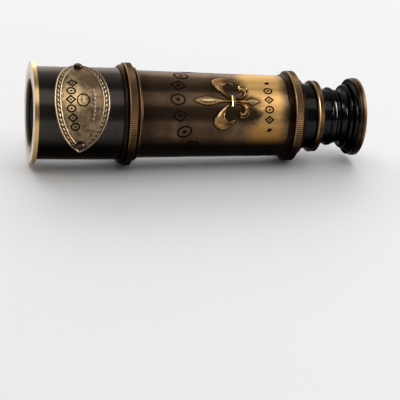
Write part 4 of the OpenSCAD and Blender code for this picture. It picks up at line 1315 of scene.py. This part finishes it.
class SPYGLASS_OT_stage(bpy.types.Operator):
    """Makes the floor, the soft lights and the camera"""

    bl_idname = "spyglass.stage"
    bl_label = "Stage"

    # Each softbox: its place, where it aims, its width and height, and its brightness, where 1
    # is as bright as white paper in full light
    SOFTBOXES = {
        "front": ((0.30, -0.60, 0.98), (0.08, 0, 0), 1.5, 0.72, 1.05),
        "back": ((0.10, 1.05, 0.54), (0.08, 0, 0), 2.0, 0.5, 1.3),
        "left": ((-0.74, -0.52, 0.52), (0.08, 0, 0), 0.05, 0.5, 48),
        "right": ((1.12, -0.32, 0.55), (0.14, 0, 0), 0.45, 1.0, 44),
        "fill": ((0.10, 0.10, 1.60), (0.08, 0, 0), 1.6, 1.6, 0.95),
    }
    # The room's brightness in front, and how much brighter it is behind and how that rises
    ROOM = 0.15
    ROOM_BEHIND = 1.3
    BEHIND_FROM, BEHIND_TO = -0.15, 0.8
    # The floor levels off over this length beyond each knurled ring
    LEVELLING = 0.07

    def execute(self, context):
        stage = settings().stage
        self.floor(stage)
        for name, softbox in self.SOFTBOXES.items():
            self.softbox(name, *softbox)
        self.world()
        self.camera(stage)
        return {"FINISHED"}

    def floor(self, stage):
        """A pale floor that meets both knurled rings and is level beyond the instrument."""
        ring1 = (JOINT_START + JOINT_END) / 2
        ring2 = (END_START + END_END) / 2
        slope = (JOINT_R - END_R) / (ring2 - ring1)
        reach = self.LEVELLING

        def levelled(beyond):
            """The rise over a share of the levelling length, in lengths of it."""
            return beyond - beyond * beyond / 2

        def height(x):
            between = max(x, ring1) - ring1 - max(x - ring2, 0)
            before = levelled(clamp((ring1 - x) / reach))
            behind = levelled(clamp((x - ring2) / reach))
            return -JOINT_R + slope * (between + reach * (behind - before))

        floor = started("floor", bpy.ops.mesh.primitive_grid_add, x_subdivisions=600,
                        y_subdivisions=2, size=stage.floor_size)
        shape(floor, lambda p: Vector((p.x, p.y, height(p.x))))
        bpy.ops.object.shade_smooth()
        floor.data.materials.append(floor_paint(settings().colours))

    def softbox(self, name, place, aim, width, height, brightness):
        """A rectangle of even brightness."""
        data = bpy.data.lights.new(name, "AREA")
        data.shape = "RECTANGLE"
        data.size = width
        data.size_y = height
        data.energy = brightness * pi * width * height
        light = bpy.data.objects.new(name, data)
        light.location = place
        light.visible_camera = False
        # The narrow lights only draw highlights, and the fill only lifts the floor
        light.visible_diffuse = width > 0.5
        light.visible_glossy = name != "fill"
        light.rotation_euler = (Vector(aim) - light.location).to_track_quat("-Z", "Y").to_euler()
        bpy.context.scene.collection.objects.link(light)

    def world(self):
        """A white room that is dim in front and brighter behind."""
        world = bpy.data.worlds.new("studio")
        world.use_nodes = True
        nodes, links = world.node_tree.nodes, world.node_tree.links
        background = nodes["Background"]
        background.inputs["Color"].default_value = (1, 1, 1, 1)
        way = nodes.new("ShaderNodeTexCoord")
        parts = nodes.new("ShaderNodeSeparateXYZ")
        behind = nodes.new("ShaderNodeMapRange")
        square = nodes.new("ShaderNodeMath")
        strength = nodes.new("ShaderNodeMath")
        behind.inputs["From Min"].default_value = self.BEHIND_FROM
        behind.inputs["From Max"].default_value = self.BEHIND_TO
        square.operation = "POWER"
        square.inputs[1].default_value = 2.0
        strength.operation = "MULTIPLY_ADD"
        strength.inputs[1].default_value = self.ROOM_BEHIND
        strength.inputs[2].default_value = self.ROOM
        links.new(way.outputs["Generated"], parts.inputs[0])
        links.new(parts.outputs["Y"], behind.inputs["Value"])
        links.new(behind.outputs["Result"], square.inputs[0])
        links.new(square.outputs[0], strength.inputs[0])
        links.new(strength.outputs[0], background.inputs["Strength"])
        bpy.context.scene.world = world
        bpy.context.scene.view_settings.view_transform = "Standard"

    def camera(self, stage):
        """A camera that looks down along the side, from its place, yaw, pitch and roll."""
        data = bpy.data.cameras.new("camera")
        data.lens = stage.lens
        data.sensor_width = 36
        data.sensor_fit = "HORIZONTAL"
        data.clip_start = 0.01
        camera = bpy.data.objects.new("camera", data)
        yaw, pitch, roll = stage.yaw, stage.pitch, stage.roll
        ahead = Vector((sin(yaw) * cos(pitch), cos(yaw) * cos(pitch), -sin(pitch)))
        level = ahead.cross(Vector((0, 0, 1))).normalized()
        above = level.cross(ahead)
        right = level * cos(roll) + above * sin(roll)
        up = above * cos(roll) - level * sin(roll)
        turn = Matrix((right, up, -ahead)).transposed().to_4x4()
        camera.matrix_world = Matrix.Translation(stage.camera) @ turn
        bpy.context.scene.collection.objects.link(camera)
        bpy.context.scene.camera = camera


OPERATORS = (SPYGLASS_OT_tubes, SPYGLASS_OT_rings, SPYGLASS_OT_eyepiece, SPYGLASS_OT_draws,
             SPYGLASS_OT_optics, SPYGLASS_OT_plate, SPYGLASS_OT_screws, SPYGLASS_OT_fleur,
             SPYGLASS_OT_engraving, SPYGLASS_OT_stage)


class SPYGLASS_PT_panel(bpy.types.Panel):
    """The spyglass's pieces in the sidebar"""

    bl_idname = "SPYGLASS_PT_panel"
    bl_label = "Spyglass"
    bl_space_type = "VIEW_3D"
    bl_region_type = "UI"
    bl_category = "Spyglass"

    def draw(self, context):
        for operator in OPERATORS:
            self.layout.operator(operator.bl_idname)
        for name in ("colours", "plate", "fleur", "engraving", "stage"):
            box = self.layout.box()
            box.label(text=name.capitalize())
            group = getattr(settings(), name)
            for key in group.__annotations__:
                box.prop(group, key)


CLASSES = (SpyglassColours, SpyglassPlate, SpyglassFleur, SpyglassEngraving, SpyglassStage,
           SpyglassSettings, *OPERATORS, SPYGLASS_PT_panel)


def register():
    for cls in CLASSES:
        bpy.utils.register_class(cls)
    bpy.types.Scene.spyglass = PointerProperty(type=SpyglassSettings)


def unregister():
    del bpy.types.Scene.spyglass
    for cls in reversed(CLASSES):
        bpy.utils.unregister_class(cls)


def main():
    """Builds the spyglass and its stage."""
    register()
    bpy.ops.spyglass.tubes()
    bpy.ops.spyglass.rings()
    bpy.ops.spyglass.eyepiece()
    bpy.ops.spyglass.draws()
    bpy.ops.spyglass.optics()
    bpy.ops.spyglass.plate()
    bpy.ops.spyglass.screws()
    bpy.ops.spyglass.fleur()
    bpy.ops.spyglass.engraving()
    bpy.ops.spyglass.stage()


if __name__ == "__main__":
    main()
